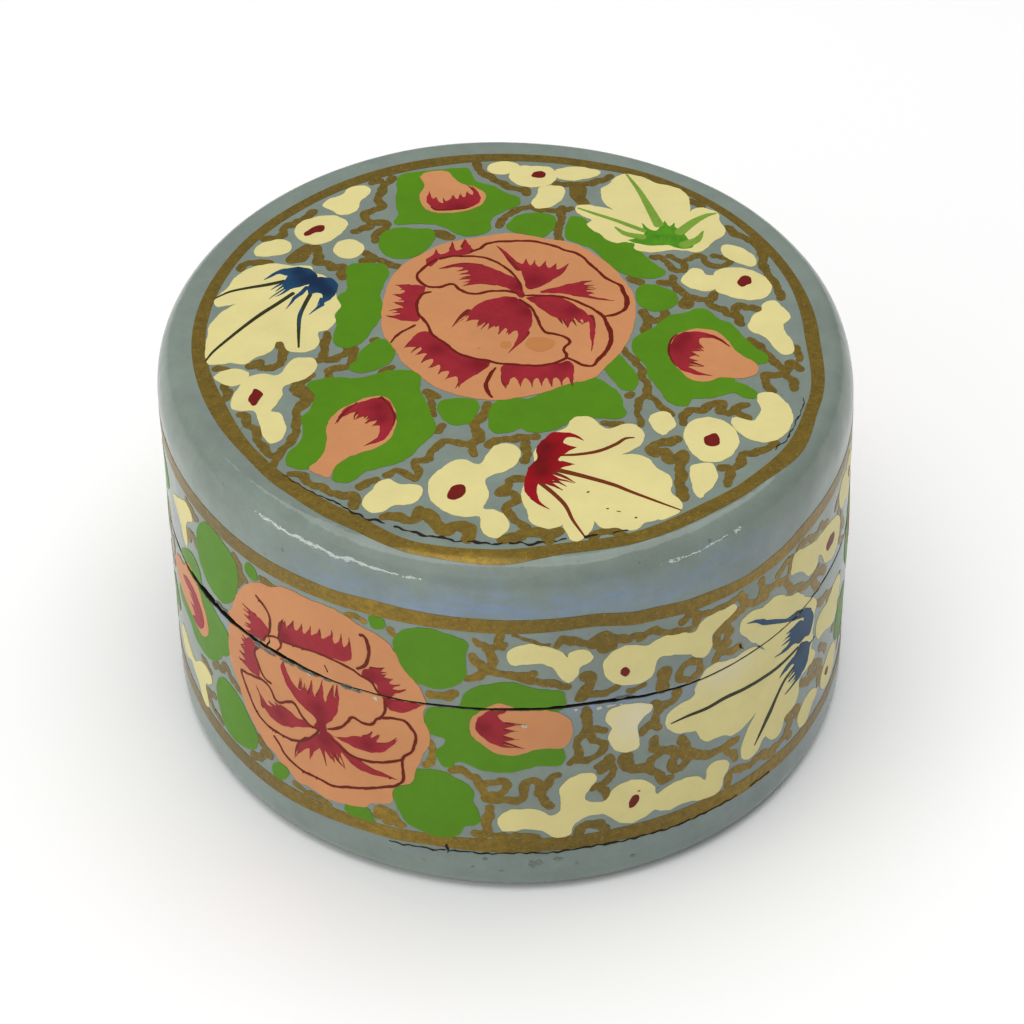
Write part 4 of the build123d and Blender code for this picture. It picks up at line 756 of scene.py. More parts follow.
# Darker grey blotches on the foot.
FOOT_BLOTCHES = """
1.6,4.2 1.9,4.75 2.3,4.5 2.7,4.8 3.1,4.3 2.8,3.9 2.4,4.1 2.1,3.6 1.8,3.8
| 4.2,4.7 4.6,5 4.9,4.8 5.3,4.9 5.1,4.5 4.6,4.5 | -3.3,5 -2.9,5.15 -2.7,4.85 -3.1,4.7
| 6.5,3.7 6.9,3.85 7,3.5 6.7,3.4 | -4.5,3.65 -4.15,3.75 -4.2,3.45 -4.5,3.45
| 12.6,3.2 13,3.4 13.3,3.1 12.8,2.95 | -1.5,3.2 -1.3,3.35 -1.1,3.15 -1.35,3.05
"""
BASE_FLECKS = """
1,24.75 1.25,24.95 1.35,24.7 1.6,24.95 1.65,24.6 1.35,24.45 | -14.7,26 -14.4,26.3 -14.2,25.9 -14.5,25.7
| 6.5,26.55 6.9,26.6 6.8,26.4 | 8.8,26.35 9.3,26.45 9.5,26.25 9.1,26.15
| 9.9,26.35 10.6,26.5 10.9,26.3 10.3,26.2 | 11.3,26.2 11.6,26.25 11.5,26.05
| -22.9,25.9 -22.3,25.95 -22.5,25.75
"""


# ------------------------------------------------------------------ drawing tools
def shapes(text):
    """Split a drawing into its shapes, each a list of (x, y, brush width, sign)."""
    drawing = []
    for part in text.split("|"):
        shape, width = [], 1.0
        for word in part.split():
            place, _, brush = word.lstrip("!^").partition("*")
            width = float(brush) if brush else width
            x, y = place.split(",")
            shape.append((float(x), float(y), width, word[0] if word[0] in "!^" else ""))
        drawing.append(shape)
    return drawing


def table(text):
    """Read rows of numbers such as "angle,outer,inner" into columns."""
    return np.array([[float(n) for n in row.split(",")] for row in text.split()]).T


def around(rows, places, period):
    """Smoothly read the columns of a closed table at the given places."""
    keys = rows[0]
    where = (np.asarray(places) - keys[0]) % period + keys[0]
    ends = np.append(keys, keys[0] + period)
    at = np.clip(np.searchsorted(ends, where, side="right") - 1, 0, len(keys) - 1)
    part = (where - ends[at]) / (ends[at + 1] - ends[at])
    part = part * part * (3 - 2 * part)
    following = (at + 1) % len(keys)
    return [column[at] * (1 - part) + column[following] * part for column in rows[1:]]


def pairs(ring):
    """Each item of a closed ring with the one after it."""
    return zip(ring, ring[1:] + ring[:1])


def swept(shape):
    """Twice the area that an outline goes round, negative where it runs clockwise."""
    return sum(a[0] * b[1] - b[0] * a[1] for a, b in pairs(shape))


def unit(way):
    """A direction at length 1."""
    return way / max(1e-6, np.linalg.norm(way))


def flowing(shape, closed, step):
    """Draw a smooth hand line through the points of a shape, tapering to its hair tips."""
    count = len(shape)
    corner = [np.array(point[:2]) for point in shape]
    turning = swept(shape)
    leaving, arriving = [], []
    for i, here in enumerate(corner):
        before = corner[i - 1] if closed or i > 0 else here
        after = corner[(i + 1) % count] if closed or i + 1 < count else here
        came, goes, sign = here - before, after - here, shape[i][3]
        bend = came[0] * goes[1] - came[1] * goes[0]
        if sign == "^" or (sign == "!" and bend * turning > 0):
            lean = unit(here - (before + after) / 2)
            arriving.append(0.5 * lean + 0.5 * unit(came))
            leaving.append(-0.5 * lean + 0.5 * unit(goes))
        else:
            lean = unit(after - before) * (0.5 if sign else 1)
            arriving.append(lean)
            leaving.append(lean)
    line = []
    for i in range(count if closed else count - 1):
        j = (i + 1) % count
        a, b = corner[i], corner[j]
        length = np.linalg.norm(b - a)
        out, into = leaving[i] * length, arriving[j] * length
        pieces = max(1, round(length / step), 3 if shape[i][3] or shape[j][3] else 1)
        for piece in range(pieces):
            t = piece / pieces
            start = (2 * t**3 - 3 * t**2 + 1) * a + (t**3 - 2 * t**2 + t) * out
            x, y = start + (3 * t**2 - 2 * t**3) * b + (t**3 - t**2) * into
            line.append((float(x), float(y), shape[i][2] * (1 - t) + shape[j][2] * t))
    if not closed:
        line.append(shape[-1][:3])
    return line


def shaken(line, reach, swell=0.0):
    """Let a hand line tremble a little, and its brush press more and less.

    The waves' lengths are unrelated, so that the tremble doesn't repeat."""
    moved, along = [], 0.0
    for n, (x, y, w) in enumerate(line):
        along += math.dist(line[n - 1][:2], (x, y)) if n else 3.7 * x + 1.9 * y
        side = math.sin(2.9 * along) + 0.6 * math.sin(6.7 * along + 1)
        rise = math.sin(3.7 * along + 2) + 0.6 * math.sin(5.3 * along)
        press = 1 + swell * (math.sin(2.3 * along + 1) + 0.7 * math.sin(5.9 * along))
        moved.append((x + reach * side, y + reach * rise, w * press))
    return moved


def brush_marks(text, step, reach, swell):
    """Turn brush strokes into the overlapping rounded marks that they are made of."""
    marks = []
    turns = [TURN * k / BRUSH_SIDES for k in range(BRUSH_SIDES)]
    for shape in shapes(text):
        line = shaken(flowing(shape, False, step), reach, swell)
        for ends in zip(line, line[1:]):
            dabs = [
                (x + w / 2 * math.cos(turn), y + w / 2 * math.sin(turn))
                for x, y, w in ends for turn in turns
            ]
            marks.append([dabs[k] for k in convex_hull_2d([Vector(dab) for dab in dabs])])
    return marks


def patches(text, step):
    """Turn outlines into closed patches."""
    lines = [shaken(flowing(shape, True, step), TREMBLE) for shape in shapes(text)]
    return [[(x, y) for x, y, _ in line] for line in lines]


def outlined(drawings, step, shake):
    """The outlines of drawings, which are brush strokes where they give brush widths."""
    outlines = []
    for text in drawings:
        outlines += brush_marks(text, step, *shake) if "*" in text else patches(text, step)
    return outlines


def inside(outline, points):
    """Which of the points lie within an outline."""
    x, y = points[:, 0], points[:, 1]
    hit = np.zeros(len(points), bool)
    for (ax, ay), (bx, by) in pairs(outline):
        if ay != by:
            hit ^= ((ay > y) != (by > y)) & (x < (bx - ax) * (y - ay) / (by - ay) + ax)
    return hit


def joined(outlines, pitch):
    """Join overlapping outlines into one flat triangulated sheet: (points, triangles)."""
    points, rings, inner = [], [], []
    for outline in outlines:
        outline = outline if swept(outline) > 0 else outline[::-1]
        rings.append(list(range(len(points), len(points) + len(outline))))
        points += outline
        low, high = np.min(outline, 0), np.max(outline, 0)
        if min(high - low) > pitch:
            grid = np.array([
                (i * pitch + (0.5 * pitch if j % 2 else 0), j * pitch)
                for i in range(int(low[0] // pitch), int(high[0] // pitch) + 2)
                for j in range(int(low[1] // pitch), int(high[1] // pitch) + 2)
            ])
            room = pitch * 0.3
            held = inside(outline, grid)
            for shift in ((room, 0), (-room, 0), (0, room), (0, -room)):
                held &= inside(outline, grid + np.array(shift))
            inner += [tuple(p) for p in grid[held]]
    points += sorted(set(inner))
    edges = [edge for ring in rings for edge in pairs(ring)]
    flat = delaunay_2d_cdt([Vector(p) for p in points], edges, [], 0, 1e-4)
    at, triangles = np.array([tuple(p) for p in flat[0]]), flat[2]
    middle = at[np.array(triangles)].mean(1)
    covered = np.zeros(len(middle), bool)
    for outline in outlines:
        low, high = np.min(outline, 0), np.max(outline, 0)
        close = np.flatnonzero(~covered & (middle > low).all(1) & (middle < high).all(1))
        if len(close):
            covered[close] = inside(outline, middle[close])
    return parted(at, [t for t, held in zip(triangles, covered) if held])


def parted(at, triangles):
    """Pull corners that touch at one point a hair apart, so that the sheet's thickness closes."""
    points, triangles = [tuple(p) for p in at], [list(t) for t in triangles]
    fans = {}
    for n, triangle in enumerate(triangles):
        for k in triangle:
            fans.setdefault(k, []).append(n)
    for k, fan in fans.items():
        left, groups = list(fan), []
        while left:
            group = [left.pop()]
            for n in group:
                mates = [m for m in left if len(set(triangles[n]) & set(triangles[m])) == 2]
                group += mates
                left = [m for m in left if m not in mates]
            groups.append(group)
        for group in groups if len(groups) > 1 else ():
            aim = np.mean([points[j] for n in group for j in triangles[n]], 0) - points[k]
            points.append(tuple(np.array(points[k]) + aim * (PARTED_BY / np.hypot(*aim))))
            for n in group:
                triangles[n][triangles[n].index(k)] = len(points) - 1
    return np.array(points), triangles


# ------------------------------------------------------------------ hand-made form
def crowned(r):
    """How far the lid's top lies below its solid."""
    return TOP_SUNK + CROWN * (r / CROWN_REACH) ** 2


def hand_formed(at):
    """Move points (mm) from the true round shape to the slightly oval, uneven one that
    winding, sawing and sanding by hand left. The top's dents fade out down the lid's wall."""
    x, y, z = at.T
    angle = np.arctan2(y, x)
    swell = 0.07 * np.sin(3 * angle + 0.12 * z) + 0.05 * np.sin(5 * angle - 0.2 * z + 1)
    swell += 0.03 * np.sin(9 * angle + 0.35 * z + 2)
    grow = 1 - OVAL * np.cos(2 * (angle - OVAL_TURN)) + swell * np.hypot(x, y) / RADIUS**2
    sink = 0.05 * np.sin(x / 7 + 0.4) * np.cos(y / 8 - 0.7) + 0.03 * np.sin(x / 3.7 - y / 4.3)
    weight = np.clip((z - PARTING - 6) / 12, 0, 1)
    return np.column_stack([x * grow, y * grow, z + sink * weight])


def on_top(x, y, lift):
    """Places on the lid's top and the start of its shoulder, a lift above the ground."""
    r = np.maximum(np.hypot(x, y), 1e-6)
    t = np.clip((r - RADIUS + SHOULDER_REACH) / SHOULDER_REACH, 0, 0.98)
    fall = np.sqrt(1 - t * t)
    z = HEIGHT - crowned(r) - SHOULDER_DROP * (1 - fall)
    slope = 2 * CROWN * r / CROWN_REACH**2 + SHOULDER_DROP / SHOULDER_REACH * t / fall
    tilt = 1 / np.sqrt(1 + slope * slope)
    spread = 1 + lift * slope * tilt / r
    return hand_formed(np.column_stack([x * spread, y * spread, z + lift * tilt]))


def on_ring(degrees, r, lift):
    """Places on the lid's top, by their angle and distance from the middle."""
    angle = np.radians(degrees)
    return on_top(r * np.cos(angle), r * np.sin(angle), lift)


def on_side(s, z, lift):
    """Places on the upright wall, a lift outside the ground."""
    angle, r = s / RADIUS - QUARTER, RADIUS + lift
    return hand_formed(np.column_stack([r * np.cos(angle), r * np.sin(angle), z]))


def cut_edge(s, body):
    """Height of the lid's or the base's rim along the wall."""
    height, open_by = around(table(CUT), s, 2 * HALF_TURN)
    ragged = 1 + 0.35 * np.sin(s * 2.3) * np.sin(s * 0.9 + 1) + 0.25 * np.sin(s * 4.1 + 2)
    half = open_by * ragged / 2
    return height + (half if body == "lid" else -half)


def to_cut(at, body):
    """Move the rim of the lid or the base to the real cut."""
    s = (np.arctan2(at[:, 1], at[:, 0]) + QUARTER) * RADIUS
    weight = np.clip(1 - abs(at[:, 2] - PARTING) / CUT_FELT, 0, 1)
    return at + np.outer((cut_edge(s, body) - PARTING) * weight, (0, 0, 1))


def lid_form(at):
    """Crown the lid's flat top, move its rim to the real cut, then form it by hand."""
    weight = np.clip((at[:, 2] - CROWN_STARTS) / (CROWN_FULL - CROWN_STARTS), 0, 1)
    crown = crowned(np.hypot(at[:, 0], at[:, 1])) * weight
    return hand_formed(to_cut(at, "lid") - np.outer(crown, (0, 0, 1)))


def base_form(at):
    """Move the base's rim to the real cut, then form it by hand."""
    return hand_formed(to_cut(at, "base"))


# ------------------------------------------------------------------ tone of the paint, with painted sheen and highlights
# Places and widths are mm in the side's drawing.

def near(value, middle, width):
    """1 at the middle, fading to nothing over the width."""
    return np.exp(-(((value - middle) / width) ** 2))


def unrolled(at):
    """Places in the side's drawing: s along the wall, and z."""
    return np.arctan2(at[:, 0], -at[:, 1]) * RADIUS, at[:, 2]


def blue_drift_and_sheen(at):
    """Where the ground turns blue (0 to 1): a painted reflection along the front of the shoulder, and
    bluer near the cut, on the right and at the foot.
    """
    s, z = unrolled(at)
    z = z + 0.5 * np.sin(s / 2.1) + 0.35 * np.sin(s / 0.9 + z) + 0.3 * np.sin(s / 0.5 + 1)
    shoulder = near(z, 40.9, 2.2) * (near(s, -1, 15) + 0.55 * near(s, 21, 12) + 0.3 * near(s, -20, 9))
    under_cut = near(z, 25.6, 1.5) * near(s, 12, 9) + 0.7 * near(z, 25.4, 1.2) * near(s, -37, 4)
    right = 0.3 / (1 + np.exp((24 - s) / 5)) * near(z, 14, 16)
    foot = 0.12 * near(z, 5, 5)
    on_wall = np.hypot(at[:, 0], at[:, 1]) > 34
    return np.clip(0.04 + (shoulder + under_cut + right + foot) * on_wall, 0, 1)


def fading(at):
    """Where the pale paint turns whiter near the cut, right of the front (0 to 1)."""
    s, z = unrolled(at)
    right = 0.6 * near(s, 24, 4) * near(z, 25.4, 2.2)
    return np.clip(0.8 * near(s, 13.2, 3) * near(z, 23.4, 3.6) + right, 0, 1)


def gold_highlight(at):
    """Where the bronze is painted golden (0 to 1): a painted highlight on the front of the ring's outer
    edge and a painted reflection on the side's bands and scrolls, varied a little along the wall.
    """
    s, z = unrolled(at)
    outer_edge = np.clip((np.hypot(at[:, 0], at[:, 1]) - 35.05 + 0.3 * np.sin(s * 1.1)) / 0.6, 0, 1)
    front = near(s, -6.5, 5) + 0.6 * near(s, -25, 1.3)
    on_lid = (0.12 + front * (0.15 + 0.85 * outer_edge)) * (z > 41)
    on_wall = 0.65 * (0.55 + 0.45 * np.sin(s / 7 + 3.5)) * (z < 41)
    return np.clip((on_lid + on_wall) * (0.8 + 0.2 * np.sin(s / 1.3) * np.sin(s / 3.1)), 0, 1)


def rootedness(at):
    """How close a place lies to the deep-toned roots of the petals and leaves (0 to 1)."""
    x, y = at[:, 0], at[:, 1]
    s, z = unrolled(at)
    s = (s + HALF_TURN / 2) % HALF_TURN - HALF_TURN / 2
    other = s - HALF_TURN * np.sign(s)
    top = z > 43
    total = np.zeros(len(at))
    for a, b, reach in table(LID_ROOTS).T:
        total += top * np.exp(-((x - a) ** 2 + (y - b) ** 2) / reach**2)
    for a, b, reach in table(SIDE_ROOTS).T:
        nearest = np.minimum(abs(s - a), abs(other - a))
        total += ~top * np.exp(-(nearest**2 + (z - b) ** 2) / reach**2)
    return np.clip(total, 0, 1)


# ------------------------------------------------------------------ mesh tools
def clear_selection():
    """Leave nothing selected, so that operators act only on what is made next."""
    if bpy.context.object and bpy.context.object.mode != "OBJECT":
        bpy.ops.object.mode_set(mode="OBJECT")
    for obj in bpy.context.view_layer.objects:
        obj.select_set(False)


def take(obj):
    """Make an object the only selected and active one."""
    clear_selection()
    obj.select_set(True)
    bpy.context.view_layer.objects.active = obj


def named(obj, name):
    """Name an object and its mesh."""
    obj.name = obj.data.name = name
    return obj


@contextmanager
def editing():
    """Edit the active mesh, with all of it selected at the start."""
    bpy.ops.object.mode_set(mode="EDIT")
    bpy.ops.mesh.select_all(action="SELECT")
    yield
    bpy.ops.object.mode_set(mode="OBJECT")


def face_outwards():
    """Turn all faces of the mesh being edited outwards."""
    bpy.ops.mesh.select_all(action="SELECT")
    bpy.ops.mesh.normals_make_consistent(inside=False)


def weld():
    """Merge the doubles of the mesh being edited."""
    bpy.ops.mesh.select_all(action="SELECT")
    bpy.ops.mesh.remove_doubles(threshold=0.004 * MM)


def corners(mesh):
    """The places of a mesh's vertices, in mm."""
    at = np.empty(len(mesh.vertices) * 3)
    mesh.vertices.foreach_get("co", at)
    return at.reshape(-1, 3) / MM


def reshape(obj, place):
    """Pass every vertex (mm) through a placing function."""
    obj.data.vertices.foreach_set("co", (place(corners(obj.data)) * MM).ravel())
    obj.data.update()


def store(obj, name, rule):
    """Store a value worked out from each vertex's place on the mesh, for its material."""
    made = obj.data.attributes.new(name, "FLOAT", "POINT")
    made.data.foreach_set("value", rule(corners(obj.data)))


def soft_shade(obj, angle):
    """Shade smooth across edges flatter than the angle (degrees)."""
    take(obj)
    bpy.ops.object.shade_smooth_by_angle(angle=math.radians(angle))


def dress(obj, finish, slot, body, *nodes):
    """Give a finished piece its material and its place in the frame."""
    obj.data.materials.clear()
    obj.data.materials.append(finished(finish))
    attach(obj, body)
    if nodes:
        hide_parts(*nodes)
    return obj


# ------------------------------------------------------------------ shells
def run(start, end, count):
    """Evenly spaced numbers without the last."""
    return [start + (end - start) * k / count for k in range(count)]


def straight(start, end, count):
    """Points on a straight line between two (r, z), without the last."""
    return list(zip(run(start[0], end[0], count), run(start[1], end[1], count)))


def arc(r, z, reach, drop, start, end, count):
    """Points on part of an ellipse about (r, z), without the last."""
    return [(r + reach * math.cos(t), z + drop * math.sin(t)) for t in run(start, end, count)]


def spun(name, section):
    """Draw a section (r, z in mm) out of one point, then spin it round the upright axis."""
    clear_selection()
    bpy.ops.mesh.primitive_plane_add(size=MM, location=(0, 0, 0))
    obj = named(bpy.context.object, name)
    runs = list(pairs(section))
    if section[0][0] == section[-1][0] == 0:
        runs.pop()
    with editing():
        bpy.ops.mesh.merge(type="CENTER")
        bpy.ops.transform.translate(value=(section[0][0] * MM, 0, section[0][1] * MM))
        for (r, z), (next_r, next_z) in runs:
            move = ((next_r - r) * MM, 0, (next_z - z) * MM)
            bpy.ops.mesh.extrude_region_move(TRANSFORM_OT_translate={"value": move})
        weld()
        bpy.ops.mesh.spin(steps=settings().steps, angle=TURN, center=(0, 0, 0), axis=(0, 0, 1))
        weld()
        face_outwards()
    return obj


def dark_rim_and_gap_shade(obj):
    """Paint the sawn rim dark: the wound paper's own dark rim, and painted shade of the gap on the
    ground's rim and rolled edge at the cut.
    """
    obj.data.materials.append(finished("sawn_rim"))
    for face in obj.data.polygons:
        lies_flat = abs(face.normal.z) > 0.45
        at_cut = abs(face.center.z / MM - PARTING) < 1.6
        if lies_flat and at_cut:
            face.material_index = 1


def shell(name, section, form, finish, slot, body, *nodes, sawn=True):
    """Spin a shell, form it by hand and let it stand for its solids."""
    made = spun(name, section)
    if finish == "ground_paint":
        # how blue the ground is, on the shoulder's front a painted reflection, stored for its material
        store(made, "cool", blue_drift_and_sheen)
    reshape(made, form)
    soft_shade(made, 40)
    dress(made, finish, slot, body, *nodes)
    if sawn:
        dark_rim_and_gap_shade(made)


# ------------------------------------------------------------------ films of paint
def sheet_of_paint(name, points, triangles):
    """A flat sheet of paint, ready to be given its thickness."""
    used = sorted({k for t in triangles for k in t})
    order = {k: n for n, k in enumerate(used)}
    mesh = bpy.data.meshes.new(name)
    places = [(points[k][0] * MM, points[k][1] * MM, 0) for k in used]
    mesh.from_pydata(places, [], [[order[k] for k in t] for t in triangles])
    obj = bpy.data.objects.new(name, mesh)
    bpy.context.collection.objects.link(obj)
    return obj


def thicken(obj, lift):
    """Give a flat sheet its thickness downwards: its lift, and its depth in the ground."""
    take(obj)
    modifier = obj.modifiers.new("thickness", "SOLIDIFY")
    modifier.thickness = (lift + PAINT_DEPTH) * MM
    modifier.offset = -1
    bpy.ops.object.modifier_apply(modifier=modifier.name)


def trim(obj, body):
    """Cut a side sheet at the saw cut and keep the lid's or the base's part."""
    take(obj)
    with editing():
        bpy.ops.mesh.bisect(
            plane_co=(0, 0, 0), plane_no=(0, 1, 0), threshold=0.001 * MM,
            clear_inner=body == "lid", clear_outer=body == "base",
        )


def laid_on_top(name, outlines, lift, pitch):
    """Lay a colour of the lid's drawing on its top."""
    sheet = sheet_of_paint(name, *joined(outlines, pitch))
    thicken(sheet, lift)
    reshape(sheet, lambda at: on_top(at[:, 0], at[:, 1], at[:, 2] + lift))
    return sheet


def laid_on_side(name, outlines, lift, pitch, body):
    """Lay a colour of the side's drawing on the lid's or the base's wall, twice round."""
    def edge(s):
        return cut_edge(s, body) + (PAINT_SHY if body == "lid" else -PAINT_SHY)

    points, triangles = joined(outlines, pitch)
    triangles += [[k + len(points) for k in t] for t in triangles]
    points = np.vstack([points, points + np.array([HALF_TURN, 0])])
    points[:, 1] -= edge(points[:, 0])
    sheet = sheet_of_paint(name, points, triangles)
    trim(sheet, body)
    if not sheet.data.polygons:
        bpy.data.objects.remove(sheet)
        return None
    thicken(sheet, lift)
    reshape(sheet, lambda at: on_side(at[:, 0], at[:, 1] + edge(at[:, 0]), at[:, 2] + lift))
    return sheet


def colour_piece(body, name, finish, lift, top, side, pitch=2.0, step=0.5, shake=(0, 0), **rules):
    """Lay one colour of the lid's and the side's drawings on the lid or the base as one piece,
    a lift above the ground. The rules work out values that its material reads."""
    parts = []
    if body == "lid" and top:
        parts.append(laid_on_top(name, outlined(top, step, shake), lift, pitch))
    if side:
        parts.append(laid_on_side(name, outlined(side, step, shake), lift, pitch, body))
    parts = [part for part in parts if part]
    if not parts:
        return
    take(parts[0])
    for part in parts:
        part.select_set(True)
    if len(parts) > 1:
        bpy.ops.object.join()
    piece = named(parts[0], f"{body}_{name}")
    soft_shade(piece, 30)
    for value, rule in rules.items():
        store(piece, value, rule)
    dress(piece, finish, "painted_ground", body)


def band(name, body, edges, period, lift, place):
    """Lay a closed ribbon of bronze between two edges (a table) round the box."""
    clear_selection()
    bpy.ops.mesh.primitive_circle_add(vertices=360, radius=RADIUS * MM, location=(0, 0, 0))
    obj = named(bpy.context.object, name)
    with editing():
        for _ in range(BAND_ROWS):
            bpy.ops.mesh.extrude_region_move(TRANSFORM_OT_translate={"value": (0, 0, MM)})
        face_outwards()
    thicken(obj, lift)

    def lay(at):
        where = np.round(np.degrees(np.arctan2(at[:, 1], at[:, 0]))) % 360 / 360 * period
        depth = np.where(np.hypot(at[:, 0], at[:, 1]) < RADIUS - 0.001, -PAINT_DEPTH, lift)
        outer, inner = around(table(edges), where, period)
        return place(where, inner + (outer - inner) * at[:, 2] / BAND_ROWS, depth)

    reshape(obj, lay)
    with editing():
        face_outwards()
    soft_shade(obj, 30)
    # painted highlight and reflection on the bronze, stored for its material
    store(obj, "gilt", gold_highlight)
    dress(obj, "bronze_paint", "painted_ground", body)


# ------------------------------------------------------------------ materials
def linear(colour):
    """A picked screen colour (0-255) as light."""
    shares = [c / 255 for c in colour]
    return tuple(c / 12.92 if c <= 0.04045 else ((c + 0.055) / 1.055) ** 2.4 for c in shares) + (1,)


def shades(colour, light, dark):
    """A lighter and a darker mix of a colour, or of the one that the setting of that name holds."""
    if isinstance(colour, str):
        colour = [c * 255 for c in getattr(settings(), colour)]
    return linear([min(255, c * light) for c in colour]), linear([c * dark for c in colour])


def grey(value):
    """An even grey."""
    return (value, value, value, 1)


def fill(tree, made, values):
    """Set a node's inputs, by name or number, and link those given a socket."""
    for key, value in values.items():
        if isinstance(value, bpy.types.NodeSocket):
            tree.links.new(value, made.inputs[key])
        else:
            made.inputs[key].default_value = value


def node(tree, kind, x, y, values, **fields):
    """Add a shader node with its fields and inputs."""
    made = tree.nodes.new(kind)
    made.location = (x, y)
    for key, value in fields.items():
        setattr(made, key, value)
    fill(tree, made, values)
    return made


def blank(name):
    """A new material with only its output and a shader."""
    made = bpy.data.materials.new(name)
    made.use_nodes = True
    tree = made.node_tree
    tree.nodes.clear()
    shader = node(tree, "ShaderNodeBsdfPrincipled", 300, 0, {})
    node(tree, "ShaderNodeOutputMaterial", 600, 0, {"Surface": shader.outputs["BSDF"]})
    return made, tree, shader


def noise(tree, scale, detail, roughness, y, squash=None):
    """Noise laid out in the box's own space, so that it runs on from piece to piece."""
    place = node(tree, "ShaderNodeTexCoord", -1100, y, {}).outputs["Object"]
    if squash:
        place = node(tree, "ShaderNodeMapping", -900, y, {"Vector": place, "Scale": squash}).outputs[0]
    values = {"Vector": place, "Scale": scale, "Detail": detail, "Roughness": roughness}
    return node(tree, "ShaderNodeTexNoise", -700, y, values).outputs["Fac"]


def ramp(tree, source, low, high, start, end, y):
    """Blend two colours over a stretch of a noise."""
    made = node(tree, "ShaderNodeValToRGB", -450, y, {"Fac": source})
    for stop, place, colour in zip(made.color_ramp.elements, (start, end), (low, high)):
        stop.position, stop.color = place, colour
    return made.outputs["Color"]


def blend(tree, factor, first, second, y):
    """Mix two colours."""
    values = {0: factor, 6: first, 7: second}
    return node(tree, "ShaderNodeMix", -150, y, values, data_type="RGBA").outputs[2]


def stored(tree, name, y):
    """A value stored on the mesh."""
    return node(tree, "ShaderNodeAttribute", -700, y, {}, attribute_name=name).outputs["Fac"]


def bump(tree, shader, height, strength, distance, sockets):
    """Raise the surface by a noise."""
    values = {"Height": height, "Strength": strength, "Distance": distance}
    normal = node(tree, "ShaderNodeBump", 0, -400, values).outputs["Normal"]
    fill(tree, shader, {socket: normal for socket in sockets})


def varnish(tree, shader, strength=0.34, coat=0.18):
    """The shared clear varnish with its slightly uneven surface."""
    broad = noise(tree, 210, 2, 0.45, -400)
    fine = noise(tree, 1400, 2, 0.5, -650)
    mixed = node(tree, "ShaderNodeMath", -450, -500, {0: fine, 1: 0.1, 2: broad}, operation="MULTIPLY_ADD")
    bump(tree, shader, mixed.outputs[0], strength, 0.0005, ("Normal", "Coat Normal"))
    fill(tree, shader, {"Specular IOR Level": 0.08, "Coat Weight": coat, "Coat Roughness": 0.06})


def varnished(name, colour, light, dark, scale, root=None):
    """Flat hand paint, brushed a little unevenly, under clear varnish; it may deepen at a root."""
    made, tree, shader = blank(name)
    mottle = ramp(tree, noise(tree, scale, 8, 0.78, 300), *shades(colour, light, dark), 0.35, 0.65, 300)
    wash = ramp(tree, noise(tree, 75, 2, 0.5, 100), *shades(colour, 1.03, 0.97), 0.35, 0.65, 100)
    paint = blend(tree, 0.5, mottle, wash, 200)
    if root:
        paint = blend(tree, stored(tree, "deep", -100), paint, linear(root), 0)
    fill(tree, shader, {"Base Color": paint, "Roughness": 0.5})
    varnish(tree, shader)
    return made


def plain(name, colour, rough, scale, dark, rise):
    """A dull, uneven surface such as raw paper or old lacquer."""
    made, tree, shader = blank(name)
    spread = noise(tree, scale, 5, 0.65, 200)
    patchy = ramp(tree, spread, *shades(colour, 1.05, dark), 0.3, 0.7, 200)
    fill(tree, shader, {"Base Color": patchy, "Roughness": rough, "Specular IOR Level": 0.25})
    bump(tree, shader, spread, rise, 0.0003, ("Normal",))
    return made


def ground_paint(name):
    """Grey-blue ground paint: it turns bluer where the meshes say so, on the front of the shoulder as a
    painted reflection, with small brown specks.
    """
    made, tree, shader = blank(name)
    wash = noise(tree, 120, 9, 0.74, 300)
    warm = ramp(tree, wash, *shades("ground", 1.08, 0.93), 0.3, 0.7, 400)
    cool = ramp(tree, wash, *shades("ground_cool", 1.08, 0.93), 0.3, 0.7, 150)
    strands = noise(tree, 260, 5, 0.65, -50, squash=(1, 1, 4))
    streaks = ramp(tree, strands, grey(0.35), grey(1), 0.36, 0.62, -50)
    factors = {0: streaks, 1: stored(tree, "cool", -50)}
    blue_and_sheen_mix = node(tree, "ShaderNodeMath", -300, -50, factors, operation="MULTIPLY").outputs[0]
    specks = ramp(tree, noise(tree, 1100, 1, 0.4, -200), grey(0), grey(0.5), 0.76, 0.82, -200)
    paint = blend(tree, specks, blend(tree, blue_and_sheen_mix, warm, cool, 250), linear((96, 84, 62)), 50)
    fill(tree, shader, {"Base Color": paint, "Roughness": 0.45})
    varnish(tree, shader, 0.45, 0.6)
    return made


def bronze_paint(name):
    """Bronze powder paint: flat brown, painted golden as a highlight at the ring's front and as a
    reflection on the side, with small painted glints.
    """
    made, tree, shader = blank(name)
    spread = noise(tree, 1500, 5, 0.75, 200)
    powder = ramp(tree, spread, *shades("gold", 1.06, 0.89), 0.36, 0.64, 200)
    # painted highlight: the golden colour, laid where the mesh's highlight value is high
    highlit_gold = ramp(tree, spread, *shades((150, 121, 38), 1.1, 0.84), 0.36, 0.64, 400)
    paint = blend(tree, stored(tree, "gilt", 550), powder, highlit_gold, 300)
    # painted glints: light specks of colour standing in for sparkle
    painted_glints = ramp(tree, noise(tree, 4200, 1, 0.5, -100), grey(0), grey(0.7), 0.6, 0.78, -100)
    paint = blend(tree, painted_glints, paint, linear((156, 126, 60)), 100)
    fill(tree, shader, {"Base Color": paint, "Metallic": 0.35, "Roughness": 0.38})
    varnish(tree, shader, 0.3)
    return made


